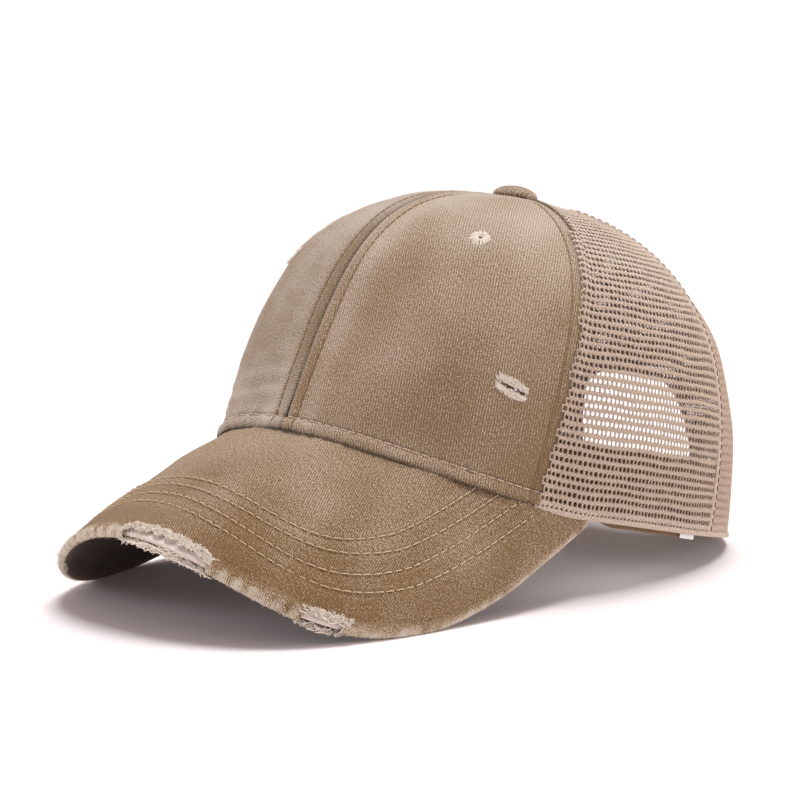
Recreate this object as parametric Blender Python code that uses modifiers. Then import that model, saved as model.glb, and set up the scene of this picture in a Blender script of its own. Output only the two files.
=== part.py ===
"""Trucker cap at real size: a six-panel crown of washed twill in front and mesh behind, a curved and
torn brim, a sweatband, a rear opening with its strap, a covered button, sewn eyelets and a blank tab.

The cap is modelled in its own frame: the button's axis is Z, the rim's plane is z = 0, the brim points
to -Y and the wearer's left is +X. Angles round the crown are in degrees in the values below; they start
at the front and grow towards the wearer's left. An empty then sets the whole cap down on the floor,
where it rests on the brim's two lobes and on the rear ends of the sweatband. Lengths are in metres.
"""

import math
from collections import namedtuple

import bmesh
import bpy
from mathutils import Matrix, Vector

OBJECT_NAME = "trucker_cap"

# Crown, measured on its outer surface
CROWN_HALF_WIDTH = 0.0820
CROWN_FRONT = 0.0985
CROWN_BACK = 0.1010
CROWN_HEIGHT = 0.1095
RIM_EXPONENT = 2.16
RIM_LIFT = 0.0164           # how far the rim rises over the middle of the brim
RIM_FLAT_FROM = 125.0       # behind this angle the rim lies in its plane

# How the crown closes towards the button, seen from three sides: the share of the rim's radius that is
# left at a share h of the height is (1 - h^fall)^(1/shoulder), times 1 + 4 * belly * h * (1 - h)
Profile = namedtuple("Profile", "fall shoulder belly")
FRONT_PROFILE = Profile(2.22, 2.71, -0.066)
SIDE_PROFILE = Profile(3.30, 2.30, 0.037)
BACK_PROFILE = Profile(1.86, 1.83, -0.045)

# Seams, by their angle at the rim and at the button
Seam = namedtuple("Seam", "rim top")
FRONT_SEAM = Seam(0.0, 0.0)
TWILL_TO_MESH_SEAM = Seam(58.2, 68.8)
MESH_SEAM = Seam(118.6, 113.0)
BACK_SEAM = Seam(180.0, 180.0)

# Cloth walls, and the gaps that sewn pieces keep
TWILL_WALL = 0.0012
MESH_WALL = 0.0010
BAND_WALL = 0.0012
GAP = 0.0003
BAND_GAP = 0.0006           # wider, as the band and the panels have facets of unlike length

# Brim: a flat pattern, rolled about a line that slopes down to the front
BRIM_END = 70.8             # the angle where the brim ends on either side
BRIM_LENGTH = 0.1030        # from the pattern's widest line to its front
BRIM_SHOULDER = 0.0385      # how far behind the crown's front the widest line lies
BRIM_FLARE = 0.0060         # how far the pattern stands out past its two ends
BRIM_TIP = 0.0026           # the width left at its ends
BRIM_TAIL_EXPONENT = 1.1
BRIM_SLOPE = 31.0
BRIM_CAMBER = 0.0018
BRIM_ROLL_SHARE = 1.022     # the roll's radius as a share of the crown's half width
BRIM_ROLL_EASE = 0.020      # the length over which the roll starts to tighten
BRIM_COVER_WALL = 0.0010
BRIM_BOARD = 0.0014
BRIM_THICKNESS = BRIM_BOARD + 2 * (BRIM_COVER_WALL + GAP)

# The two halves of the brim: how fast the roll tightens towards the front, and the exponent of the
# front corner
Half = namedtuple("Half", "tightening corner")
LEFT_HALF = Half(0.145, 2.13)
RIGHT_HALF = Half(0.50, 1.95)

BRIM_TEAR_RAISE = 0.0013    # the tears open more of the brim's top than of its underside

# Sweatband and rear closure, with heights measured from the rim
BAND_TOP = 0.0255
BAND_DROP = 0.0020          # how far it hangs below the rim behind the brim
BAND_EASE = 10.0            # the angle over which it comes down behind the brim
OPENING_HALF_WIDTH = 0.0290
OPENING_HEIGHT = 0.0520
OPENING_EXPONENT = 2.6
STRAP_WALL = 0.0014
STRAP_LAP = 0.0120          # how far it runs on behind each side of the opening
STRAP_BOTTOM = 0.0020
STRAP_TOP = 0.0210

# Covered button
BUTTON_RADIUS = 0.0080
BUTTON_HEIGHT = 0.0050
BUTTON_SIDE = 0.0015        # the upright part of its height
BUTTON_SEAT_RADIUS = 0.0075
DOME_STEPS = 5
SHANK_RADIUS = 0.0020
WASHER_RADIUS = 0.0050
WASHER_THICKNESS = 0.0010
TOP_HOLE_RADIUS = SHANK_RADIUS + GAP

# Sewn eyelets of the front panels
EYELET_ANGLE = 32.5
EYELET_SHARE = 0.809        # of the crown's height
EYELET_RADIUS = 0.0044
EYELET_BACK_RADIUS = 0.0028
EYELET_COLLAR_RADIUS = 0.0017
EYELET_HOLE_RADIUS = 0.0008
EYELET_THICKNESS = 0.0009
EYELET_EDGE_RADIUS = 0.0040
EYELET_EDGE_THICKNESS = 0.0006
EYELET_BACK_THICKNESS = 0.0005
EYELET_PLAY = 0.0005        # the panel's flat facets lie up to this much inside its true curve

# Blank tab under the rim on the wearer's left
LABEL_ANGLE = 103.5
LABEL_WIDTH = 0.0095
LABEL_DROP = 0.0034
LABEL_WALL = 0.0006

# Tears through the front panels, by angle and share of the crown's height
PanelTear = namedtuple("PanelTear", "name angle share width height")
PANEL_TEARS = {
    "front_panel_left": PanelTear("tear_panel_left", 45.5, 0.346, 0.0095, 0.0030),
    "front_panel_right": PanelTear("tear_panel_right", -35.5, 0.690, 0.0085, 0.0030),
}

# Tears along the brim's edge: place by the share of the way from the middle of the edge to its end, length
# along the edge, and reach into the brim
BrimTear = namedtuple("BrimTear", "name place length reach")
BRIM_TEARS = [
    BrimTear("tear_brim_front", 0.115, 0.036, 0.0085),
    BrimTear("tear_brim_left", 0.440, 0.020, 0.0055),
    BrimTear("tear_brim_right", -0.330, 0.010, 0.0030),
]

# How deep the cloth is pressed flat where it rests, and the pieces that can meet the floor
PRESSED_FLAT = 0.0006
FLOOR_PIECES = ("brim_cover", "sweatband", "back_strap", "back_mesh_left", "back_mesh_right")
LEVELLING_ROUNDS = 12

# How finely the surfaces are divided
PANEL_COLUMNS = 9
PANEL_ROWS = 12
ROW_CROWDING = 2.2          # draws the rows together towards the button
BRIM_STATIONS = 22          # from the middle of the brim to one end
BRIM_ROWS = 5
FOLD_STEPS = 4
EDGE_FRONT_SHARE = 0.81     # the share of the stations that lies in front of the pattern's widest line
POCKET_END_STATIONS = 2
BOARD_END_STATIONS = 3
BAND_COLUMNS = 44
BAND_ROWS = 3
STRAP_COLUMNS = 12
LABEL_COLUMNS = 3
TURNED_STEPS = 20
TEAR_RINGS = 8
HALVINGS = 40
CUTTER_SIDES = 14
ARCH_SIDES = 28
CUTTER_DEPTH = 0.0060       # of the straight cutters through a panel
STEP = 1e-4                 # for slopes taken from two near points
WELD = 1e-6

COLOURS = {
    "crown_twill": (0.270, 0.190, 0.110),
    "brim_twill": (0.290, 0.195, 0.095),
    "mesh": (0.560, 0.420, 0.290),
    "band_twill": (0.130, 0.080, 0.045),
    "board": (0.560, 0.530, 0.490),
    "thread": (0.640, 0.480, 0.350),
    "label": (0.800, 0.790, 0.770),
}


def clear_scene():
    for item in list(bpy.data.objects):
        bpy.data.objects.remove(item, do_unlink=True)


def make_collection(name):
    collection = bpy.data.collections.new(name)
    bpy.context.scene.collection.children.link(collection)
    return collection


def make_material(name):
    material = bpy.data.materials.new(name)
    material.use_nodes = True
    shader = material.node_tree.nodes["Principled BSDF"]
    shader.inputs["Base Color"].default_value = (*COLOURS[name], 1.0)
    shader.inputs["Roughness"].default_value = 0.9
    shader.inputs["Metallic"].default_value = 0.0
    return material


def mix(start, end, share):
    return start + (end - start) * share


def superellipse(turn, half_across, half_along, exponent):
    """A point of a superellipse as (across, along); a turn of 0 points along."""
    across = math.sin(turn)
    along = math.cos(turn)
    size = abs(across / half_across) ** exponent + abs(along / half_along) ** exponent
    radius = size ** (-1.0 / exponent)
    return radius * across, radius * along


def solve_rising(value_at, low, high, target):
    """Where a rising function reaches the target, by halving."""
    for _ in range(HALVINGS):
        middle = (low + high) / 2
        if value_at(middle) < target:
            low = middle
        else:
            high = middle
    return (low + high) / 2


# Brim surface

def forward_of_crown(y):
    return -y - CROWN_FRONT


def roll_radius(across, y):
    """The radius of the brim's roll, which tightens towards the front."""
    half = LEFT_HALF if across >= 0 else RIGHT_HALF
    forward = forward_of_crown(y)
    eased = (forward + math.hypot(forward, BRIM_ROLL_EASE)) / 2
    return BRIM_ROLL_SHARE * CROWN_HALF_WIDTH - half.tightening * eased


def brim_surface(across, y):
    """The top of the brim over a point of its flat pattern."""
    radius = roll_radius(across, y)
    turn = across / radius
    forward = forward_of_crown(y)
    share = min(max(forward / (BRIM_LENGTH - BRIM_SHOULDER), 0.0), 1.0)
    z = RIM_LIFT - radius * (1 - math.cos(turn)) - forward * math.tan(math.radians(BRIM_SLOPE))
    z += BRIM_CAMBER * 4 * share * (1 - share)
    return Vector((radius * math.sin(turn), y, z))


def brim_point(across, y, depth=0.0):
    """A point of the brim, a depth below its top."""
    point = brim_surface(across, y)
    sideways = brim_surface(across + STEP, y) - point
    backwards = brim_surface(across, y + STEP) - point
    return point - sideways.cross(backwards).normalized() * depth


# Rim and crown surface

def rim_plan(angle):
    """The rim in plan, as x and y."""
    reach = CROWN_FRONT if math.cos(angle) > 0 else CROWN_BACK
    across, along = superellipse(angle, CROWN_HALF_WIDTH, reach, RIM_EXPONENT)
    return across, -along


def pattern_rim(angle):
    """The rim's place on the brim's flat pattern."""
    x, y = rim_plan(angle)
    radius = roll_radius(x, y)
    return radius * math.asin(x / radius), y


def rim_on_brim(angle):
    return brim_surface(*pattern_rim(angle)).z


def rim_height(angle):
    """The rim lies on the brim in front, then eases down to its flat rear."""
    turn = abs(angle)
    end = math.radians(BRIM_END)
    flat = math.radians(RIM_FLAT_FROM)
    if turn <= end:
        return rim_on_brim(angle)
    if turn >= flat:
        return 0.0
    side = math.copysign(1.0, angle)
    start = rim_on_brim(side * end)
    slope = (start - rim_on_brim(side * (end - STEP))) / STEP * (flat - end)
    share = (turn - end) / (flat - end)
    left = (1 - share) ** 2
    return start * (1 + 2 * share) * left + slope * share * left


def crown_share(angle, share):
    """The share of the rim's radius that is left at a share of the crown's height."""
    if share <= 0:
        return 1.0
    front = max(math.cos(angle), 0.0) ** 2
    back = max(-math.cos(angle), 0.0) ** 2
    weights = (front, 1 - front - back, back)
    profiles = (FRONT_PROFILE, SIDE_PROFILE, BACK_PROFILE)
    fall = sum(weight * profile.fall for weight, profile in zip(weights, profiles))
    shoulder = sum(weight * profile.shoulder for weight, profile in zip(weights, profiles))
    belly = sum(weight * profile.belly for weight, profile in zip(weights, profiles))
    left = max(1 - share ** fall, 0.0) ** (1 / shoulder)
    return left * (1 + 4 * belly * share * (1 - share))


def crown_surface(angle, share):
    """The crown's outer surface; below a share of 0 it runs straight down."""
    x, y = rim_plan(angle)
    left = crown_share(angle, share)
    return Vector((x * left, y * left, mix(rim_height(angle), CROWN_HEIGHT, share)))


def crown_normal(angle, share):
    point = crown_surface(angle, share)
    around = crown_surface(angle + STEP, share) - point
    upwards = point - crown_surface(angle, share - STEP)
    return around.cross(upwards).normalized()


def crown_point(angle, share, depth=0.0):
    """A point of the crown's wall, a depth inside its outer surface."""
    return crown_surface(angle, share) - crown_normal(angle, share) * depth


def crown_frame(angle, share, depth=0.0):
    """A place on the crown, with X round it, Y up it and Z out of it."""
    outwards = crown_normal(angle, share)
    around = (crown_surface(angle + STEP, share) - crown_surface(angle, share)).normalized()
    upwards = outwards.cross(around)
    turned = Matrix((around, upwards, outwards)).transposed().to_4x4()
    return Matrix.Translation(crown_point(angle, share, depth)) @ turned


def share_above_rim(angle, height):
    """The share of the crown's height that lies a height above the rim."""
    return height / (CROWN_HEIGHT - rim_height(angle))


def share_at_radius(angle, radius):
    """The share of the height at which the crown has closed in to a radius about the button's axis."""
    x, y = rim_plan(angle)
    reach = math.hypot(x, y)
    return solve_rising(lambda share: -crown_share(angle, share) * reach, 0.5, 1.0, -radius)


def rear_angle(x):
    """The angle at which the rear of the rim is x to the left of its middle."""
    return solve_rising(lambda angle: -rim_plan(angle)[0], math.radians(100), math.pi, -x)


# Making objects

def add_object(name, mesh, collection, material=None, parent=None):
    item = bpy.data.objects.new(name, mesh)
    collection.objects.link(item)
    item.parent = parent
    if material:
        mesh.materials.append(material)
        mesh.shade_smooth()
        mesh.set_sharp_from_angle(angle=math.radians(40))
    return item


def mesh_from(bm, name):
    mesh = bpy.data.meshes.new(name)
    bm.to_mesh(mesh)
    bm.free()
    return mesh


def place_grid(bm, place):
    """Sets the points of a flat grid by a function of their shares across and up."""
    for vertex in bm.verts:
        vertex.co = place((vertex.co.x + 1) / 2, (vertex.co.y + 1) / 2)


def cloth_sheet(name, material, columns, rows, place, wall):
    """A sheet of cloth: its outer surface is placed by a function, and its wall goes inwards."""
    bm = bmesh.new()
    bmesh.ops.create_grid(bm, x_segments=columns, y_segments=rows, size=1.0)
    place_grid(bm, place)
    item = add_object(name, mesh_from(bm, name), PARTS, MATERIALS[material], CAP)
    solidify = item.modifiers.new("wall", "SOLIDIFY")
    solidify.thickness = wall
    solidify.offset = -1.0
    solidify.use_even_offset = True
    return item


def turned_piece(name, material, profile, matrix):
    """A profile of radius and height turned about Z, from the top of its outer side down."""
    bm = bmesh.new()
    points = [bm.verts.new((radius, 0.0, height)) for radius, height in profile]
    for start, end in zip(points, points[1:]):
        bm.edges.new((start, end))
    item = add_object(name, mesh_from(bm, name), PARTS, MATERIALS[material], CAP)
    item.matrix_local = matrix
    screw = item.modifiers.new("turn", "SCREW")
    screw.axis = "Z"
    screw.angle = math.tau
    screw.steps = TURNED_STEPS
    screw.render_steps = TURNED_STEPS
    screw.use_merge_vertices = True
    screw.merge_threshold = WELD
    return item


def add_cutter(name, bm, matrix, parent):
    bmesh.ops.recalc_face_normals(bm, faces=bm.faces)
    cutter = add_object(name, mesh_from(bm, name), CUTTERS, None, parent)
    cutter.matrix_local = matrix
    cutter.hide_render = True
    cutter.display_type = "WIRE"
    return cutter


def cut(item, cutter):
    boolean = item.modifiers.new(cutter.name, "BOOLEAN")
    boolean.operation = "DIFFERENCE"
    boolean.solver = "EXACT"
    boolean.object = cutter


def oval_cutter(name, width, height, matrix):
    """A straight cutter with an oval outline, along the frame's Z."""
    bm = bmesh.new()
    size = Matrix.Diagonal((width / 2, height / 2, CUTTER_DEPTH, 1.0))
    bmesh.ops.create_cone(
        bm, cap_ends=True, segments=CUTTER_SIDES, radius1=1.0, radius2=1.0, depth=1.0, matrix=size
    )
    return add_cutter(name, bm, matrix, CAP)


# Crown

def crown_panel(name, material, side, front_seam, rear_seam, wall):
    """One panel between two seams; side is 1 on the wearer's left and -1 on the right."""
    def place(across, up):
        rise = 1 - (1 - up) ** ROW_CROWDING
        seams = (mix(seam.rim, seam.top, rise) for seam in (front_seam, rear_seam))
        edges = sorted(side * math.radians(angle) for angle in seams)
        low = share_above_rim(edges[0], GAP)
        middle = mix(*edges, across)
        high = share_at_radius(middle, TOP_HOLE_RADIUS)
        share = mix(low, high, rise)
        flat = crown_surface(middle, share)
        margin = GAP / 2 / math.hypot(flat.x, flat.y)
        angle = mix(edges[0] + margin, edges[1] - margin, across)
        low = share_above_rim(angle, GAP)
        high = share_at_radius(angle, TOP_HOLE_RADIUS)
        return crown_surface(angle, mix(low, high, rise))

    return cloth_sheet(name, material, PANEL_COLUMNS, PANEL_ROWS, place, wall)


def build_crown():
    panels = [
        ("front_panel", "crown_twill", FRONT_SEAM, TWILL_TO_MESH_SEAM, TWILL_WALL),
        ("side_mesh", "mesh", TWILL_TO_MESH_SEAM, MESH_SEAM, MESH_WALL),
        ("back_mesh", "mesh", MESH_SEAM, BACK_SEAM, MESH_WALL),
    ]
    crown = {}
    for side, word in ((1, "left"), (-1, "right")):
        for kind, material, front_seam, rear_seam, wall in panels:
            name = f"{kind}_{word}"
            crown[name] = crown_panel(name, material, side, front_seam, rear_seam, wall)
    return crown


def cut_rear_opening(crown):
    """The arch over the strap, cut straight through the two back panels."""
    bm = bmesh.new()
    bmesh.ops.create_circle(bm, cap_ends=True, segments=ARCH_SIDES, radius=1.0)
    for vertex in bm.verts:
        turn = math.atan2(vertex.co.x, vertex.co.y)
        x, z = superellipse(turn, OPENING_HALF_WIDTH, OPENING_HEIGHT, OPENING_EXPONENT)
        vertex.co = (x, CROWN_BACK / 2, z)
    grown = bmesh.ops.extrude_face_region(bm, geom=bm.faces[:])
    moved = [item for item in grown["geom"] if isinstance(item, bmesh.types.BMVert)]
    bmesh.ops.translate(bm, verts=moved, vec=(0.0, CROWN_BACK, 0.0))
    cutter = add_cutter("rear_arch", bm, Matrix(), CAP)
    cut(crown["back_mesh_left"], cutter)
    cut(crown["back_mesh_right"], cutter)


def tear_panels(crown):
    for name, tear in PANEL_TEARS.items():
        matrix = crown_frame(math.radians(tear.angle), tear.share, TWILL_WALL / 2)
        cut(crown[name], oval_cutter(tear.name, tear.width, tear.height, matrix))


# Button and eyelets

def crown_drop(radius):
    """How far the crown has fallen below its top at a radius, where it falls most."""
    angles = [math.radians(degrees) for degrees in range(0, 360, 15)]
    return max(CROWN_HEIGHT - crown_surface(angle, share_at_radius(angle, radius)).z for angle in angles)


def build_button():
    """A cloth-covered dome on a shank, with a washer that holds the panels from inside."""
    seat = CROWN_HEIGHT + GAP
    washer_top = CROWN_HEIGHT - crown_drop(WASHER_RADIUS) - max(TWILL_WALL, MESH_WALL) - GAP
    washer_bottom = washer_top - WASHER_THICKNESS
    dome = []
    for step in range(DOME_STEPS + 1):
        turn = math.radians(90) * step / DOME_STEPS
        height = mix(BUTTON_SIDE, BUTTON_HEIGHT, math.cos(turn))
        dome.append((BUTTON_RADIUS * math.sin(turn), seat + height))
    profile = dome + [
        (BUTTON_SEAT_RADIUS, seat),
        (SHANK_RADIUS, seat),
        (SHANK_RADIUS, washer_top),
        (WASHER_RADIUS, washer_top),
        (WASHER_RADIUS, washer_bottom),
        (0.0, washer_bottom),
    ]
    turned_piece("top_button", "crown_twill", profile, Matrix())


def build_eyelets(crown):
    """Rings of thread that pass through the panels and lie on both of their faces."""
    front = GAP
    back = -TWILL_WALL - EYELET_PLAY - GAP
    profile = [
        (EYELET_HOLE_RADIUS, front + EYELET_EDGE_THICKNESS),
        (EYELET_COLLAR_RADIUS, front + EYELET_THICKNESS),
        (EYELET_EDGE_RADIUS, front + EYELET_EDGE_THICKNESS),
        (EYELET_RADIUS, front),
        (EYELET_COLLAR_RADIUS, front),
        (EYELET_COLLAR_RADIUS, back),
        (EYELET_BACK_RADIUS, back),
        (EYELET_BACK_RADIUS, back - EYELET_BACK_THICKNESS),
        (EYELET_HOLE_RADIUS, back - EYELET_BACK_THICKNESS),
        (EYELET_HOLE_RADIUS, front + EYELET_EDGE_THICKNESS),
    ]
    hole = 2 * (EYELET_COLLAR_RADIUS + GAP)
    for side, word in ((1, "left"), (-1, "right")):
        matrix = crown_frame(side * math.radians(EYELET_ANGLE), EYELET_SHARE)
        turned_piece(f"eyelet_{word}", "thread", profile, matrix)
        cutter = oval_cutter(f"eyelet_hole_{word}", hole, hole, matrix)
        cut(crown[f"front_panel_{word}"], cutter)


# Brim

def pattern_widest():
    return -(CROWN_FRONT - BRIM_SHOULDER)


def pattern_edge(share):
    """The outer edge of the brim's flat pattern: 0 is the middle of its front, -1 and 1 are its ends."""
    side = math.copysign(1.0, share)
    end_across, end_y = pattern_rim(side * math.radians(BRIM_END))
    half_width = abs(end_across) + BRIM_FLARE
    widest = pattern_widest()
    if abs(share) <= EDGE_FRONT_SHARE:
        corner = LEFT_HALF.corner if side > 0 else RIGHT_HALF.corner
        turn = math.radians(90) * abs(share) / EDGE_FRONT_SHARE
        across, along = superellipse(turn, half_width, BRIM_LENGTH, corner)
        return side * across, widest - along
    turn = math.radians(90) * (abs(share) - EDGE_FRONT_SHARE) / (1 - EDGE_FRONT_SHARE)
    backwards, outwards = superellipse(turn, 1.0, 1.0, BRIM_TAIL_EXPONENT)
    across = mix(abs(end_across) + BRIM_TIP, half_width, outwards)
    return side * across, mix(widest, end_y, backwards)


def brim_section(length, inset):
    """Points round a section across the brim, as the way out from the crown and the depth below the top."""
    fold = BRIM_THICKNESS / 2
    round_fold = fold - inset
    straight = [mix(inset, length - fold, row / BRIM_ROWS) for row in range(BRIM_ROWS + 1)]
    top = [(out, inset) for out in straight]
    bottom = [(out, BRIM_THICKNESS - inset) for out in reversed(straight)]
    edge = []
    for step in range(1, FOLD_STEPS):
        turn = math.pi * step / FOLD_STEPS
        edge.append((length - fold + round_fold * math.sin(turn), fold - round_fold * math.cos(turn)))
    return top + edge + bottom


def brim_slab(inset, dropped):
    """A solid that lies inset inside the brim's skin and leaves stations out at both ends."""
    stations = 2 * (BRIM_STATIONS - dropped)
    sections = []
    for index in range(stations + 1):
        share = (index + dropped) / BRIM_STATIONS - 1
        inner = Vector(pattern_rim(share * math.radians(BRIM_END)))
        outer = Vector(pattern_edge(share))
        outwards = (outer - inner).normalized()
        section = []
        for out, depth in brim_section((outer - inner).length, inset):
            section.append(brim_point(*(inner + outwards * out), depth))
        sections.append(section)
    corners = len(sections[0])
    bm = bmesh.new()
    bmesh.ops.create_grid(bm, x_segments=stations, y_segments=corners, size=1.0)

    def place(along, around):
        return sections[round(along * stations)][round(around * corners) % corners]

    place_grid(bm, place)
    bmesh.ops.remove_doubles(bm, verts=bm.verts, dist=WELD)
    ends = bmesh.ops.holes_fill(bm, edges=bm.edges, sides=0)
    bmesh.ops.triangulate(bm, faces=ends["faces"])
    bmesh.ops.recalc_face_normals(bm, faces=bm.faces)
    return bm


def brim_frame(share):
    """A place on the brim's edge, half its thickness deep: X runs along it, Y into the brim and Z up."""
    inner = Vector(pattern_rim(share * math.radians(BRIM_END)))
    outer = Vector(pattern_edge(share))
    centre = brim_point(*outer, BRIM_THICKNESS / 2)
    upwards = (brim_point(*outer) - centre).normalized()
    near = outer + (inner - outer).normalized() * STEP
    inwards = brim_point(*near, BRIM_THICKNESS / 2) - centre
    along = inwards.cross(upwards).normalized()
    turned = Matrix((along, upwards.cross(along), upwards)).transposed().to_4x4()
    return Matrix.Translation(centre) @ turned


def tear_brim(cover):
    """Ragged bites out of the cover at the brim's edge, which lay the board bare."""
    for tear in BRIM_TEARS:
        bm = bmesh.new()
        size = Matrix.Diagonal((tear.length / 2, tear.reach, BRIM_THICKNESS, 1.0))
        bmesh.ops.create_uvsphere(
            bm, u_segments=CUTTER_SIDES, v_segments=TEAR_RINGS, radius=1.0, matrix=size
        )
        raised = Matrix.Translation((0.0, 0.0, BRIM_TEAR_RAISE))
        cut(cover, add_cutter(tear.name, bm, brim_frame(tear.place) @ raised, CAP))


def build_brim():
    """The board in its pocket, inside a cover that folds round the outer edge."""
    cover = add_object(
        "brim_cover", mesh_from(brim_slab(0.0, 0), "brim_cover"), PARTS, MATERIALS["brim_twill"], CAP
    )
    pocket = brim_slab(BRIM_COVER_WALL, POCKET_END_STATIONS)
    cut(cover, add_cutter("brim_pocket", pocket, Matrix(), CAP))
    tear_brim(cover)
    board = brim_slab(BRIM_COVER_WALL + GAP, BOARD_END_STATIONS)
    add_object("brim_board", mesh_from(board, "brim_board"), PARTS, MATERIALS["board"], CAP)


# Sweatband, strap and tab

def band_depth():
    return max(TWILL_WALL, MESH_WALL) + BAND_GAP


def band_bottom(angle):
    """Over the brim the band ends just above it, and behind the brim it hangs below the rim."""
    eased = (math.degrees(abs(angle)) - BRIM_END) / BAND_EASE
    eased = min(max(eased, 0.0), 1.0)
    return mix(2 * GAP, -BAND_DROP, eased * eased * (3 - 2 * eased))


def build_sweatband():
    end = rear_angle(OPENING_HALF_WIDTH + STRAP_LAP + GAP)

    def place(across, up):
        angle = mix(-end, end, across)
        height = mix(band_bottom(angle), BAND_TOP, up)
        return crown_point(angle, share_above_rim(angle, height), band_depth())

    cloth_sheet("sweatband", "band_twill", BAND_COLUMNS, BAND_ROWS, place, BAND_WALL)


def build_strap():
    end = rear_angle(OPENING_HALF_WIDTH + STRAP_LAP)

    def place(across, up):
        angle = mix(end, math.tau - end, across)
        height = mix(STRAP_BOTTOM, STRAP_TOP, up)
        return crown_point(angle, share_above_rim(angle, height), band_depth())

    cloth_sheet("back_strap", "band_twill", STRAP_COLUMNS, 2, place, STRAP_WALL)


def build_label():
    """The tab hangs against the sweatband, just under the edge of the mesh."""
    middle = math.radians(LABEL_ANGLE)
    half = LABEL_WIDTH / 2 / math.hypot(*rim_plan(middle))
    depth = band_depth() - GAP - LABEL_WALL

    def place(across, up):
        angle = mix(middle - half, middle + half, across)
        height = mix(-LABEL_DROP, -GAP, up)
        return crown_point(angle, share_above_rim(angle, height), depth)

    cloth_sheet("care_label", "label", LABEL_COLUMNS, 1, place, LABEL_WALL)


# Setting the cap down

def world_points(item):
    bpy.context.view_layer.update()
    evaluated = item.evaluated_get(bpy.context.evaluated_depsgraph_get())
    mesh = evaluated.to_mesh()
    points = [evaluated.matrix_world @ vertex.co for vertex in mesh.vertices]
    evaluated.to_mesh_clear()
    return points


def lowest(points, turned):
    return min((turned @ point for point in points), key=lambda point: point.z)


def resting_turn(points):
    """The turns about X and Y that bring the brim's two lobes and the rear of the rim to one level."""
    left_lobe = [point for point in points if point.y < 0 < point.x]
    right_lobe = [point for point in points if point.y < 0 and point.x < 0]
    rear_rim = [point for point in points if point.y > 0]
    tilt = 0.0
    roll = 0.0
    for _ in range(LEVELLING_ROUNDS):
        turned = Matrix.Rotation(roll, 4, "Y") @ Matrix.Rotation(-tilt, 4, "X")
        left = lowest(left_lobe, turned)
        right = lowest(right_lobe, turned)
        rear = lowest(rear_rim, turned)
        front = (left + right) / 2
        tilt += (rear.z - front.z) / (rear.y - front.y)
        roll += (left.z - right.z) / (left.x - right.x)
    return turned


def set_down():
    """Puts the middle of the cap's box over the origin and presses its cloth flat on the floor."""
    pieces = [item for item in PARTS.objects if item.type == "MESH"]
    points = [point for item in pieces for point in world_points(item)]
    turned = resting_turn(points)
    points = [turned @ point for point in points]
    middle_x = (min(point.x for point in points) + max(point.x for point in points)) / 2
    middle_y = (min(point.y for point in points) + max(point.y for point in points)) / 2
    bottom = min(point.z for point in points)
    CAP.matrix_world = Matrix.Translation((-middle_x, -middle_y, -bottom - PRESSED_FLAT)) @ turned

    side = 4 * (BRIM_LENGTH + CROWN_BACK)
    bm = bmesh.new()
    bmesh.ops.create_cube(bm, size=side, matrix=Matrix.Translation((0.0, 0.0, -side / 2)))
    floor = add_cutter("floor", bm, Matrix(), None)
    for item in pieces:
        if item.name in FLOOR_PIECES:
            cut(item, floor)


clear_scene()
PARTS = make_collection(OBJECT_NAME)
CUTTERS = make_collection("cutters")
MATERIALS = {name: make_material(name) for name in COLOURS}
CAP = bpy.data.objects.new("resting_frame", None)
PARTS.objects.link(CAP)

panels = build_crown()
cut_rear_opening(panels)
tear_panels(panels)
build_eyelets(panels)
build_button()
build_brim()
build_sweatband()
build_strap()
build_label()
set_down()
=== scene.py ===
"""The looks of the trucker cap: washed twill with stitches, a pierced net, frayed tears, floor and light.

Points are first worked out in the cap's own frame, as in the CAD source: the button's axis is Z, the rim's
plane is z = 0, the brim points to -Y and the wearer's left is +X. RESTING then sets it down on the floor.
Lengths are in metres. The cloth's own coordinates, reliefs and places beside a seam are in millimetres.
"""

import math
from collections import namedtuple

import bpy
import numpy as np
from mathutils import Matrix, Vector


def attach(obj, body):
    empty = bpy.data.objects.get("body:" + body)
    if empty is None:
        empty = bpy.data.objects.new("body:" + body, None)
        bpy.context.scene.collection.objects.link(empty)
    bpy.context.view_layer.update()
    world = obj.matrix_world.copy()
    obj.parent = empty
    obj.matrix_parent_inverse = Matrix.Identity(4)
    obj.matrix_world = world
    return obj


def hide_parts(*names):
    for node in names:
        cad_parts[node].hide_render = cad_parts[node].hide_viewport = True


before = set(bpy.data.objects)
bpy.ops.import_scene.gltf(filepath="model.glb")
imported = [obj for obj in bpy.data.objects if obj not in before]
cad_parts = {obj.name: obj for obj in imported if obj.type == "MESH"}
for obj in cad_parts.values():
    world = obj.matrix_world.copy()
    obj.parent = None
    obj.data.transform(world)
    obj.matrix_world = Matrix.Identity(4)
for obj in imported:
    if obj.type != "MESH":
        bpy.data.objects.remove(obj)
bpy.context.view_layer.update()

MM = 0.001
RESTING = np.array([
    [0.9999923, -0.0008253, 0.0038427, -0.0001341],
    [0.0, 0.9777055, 0.2099809, 0.0331246],
    [-0.0039303, -0.2099793, 0.9776979, 0.0200166],
])

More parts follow.
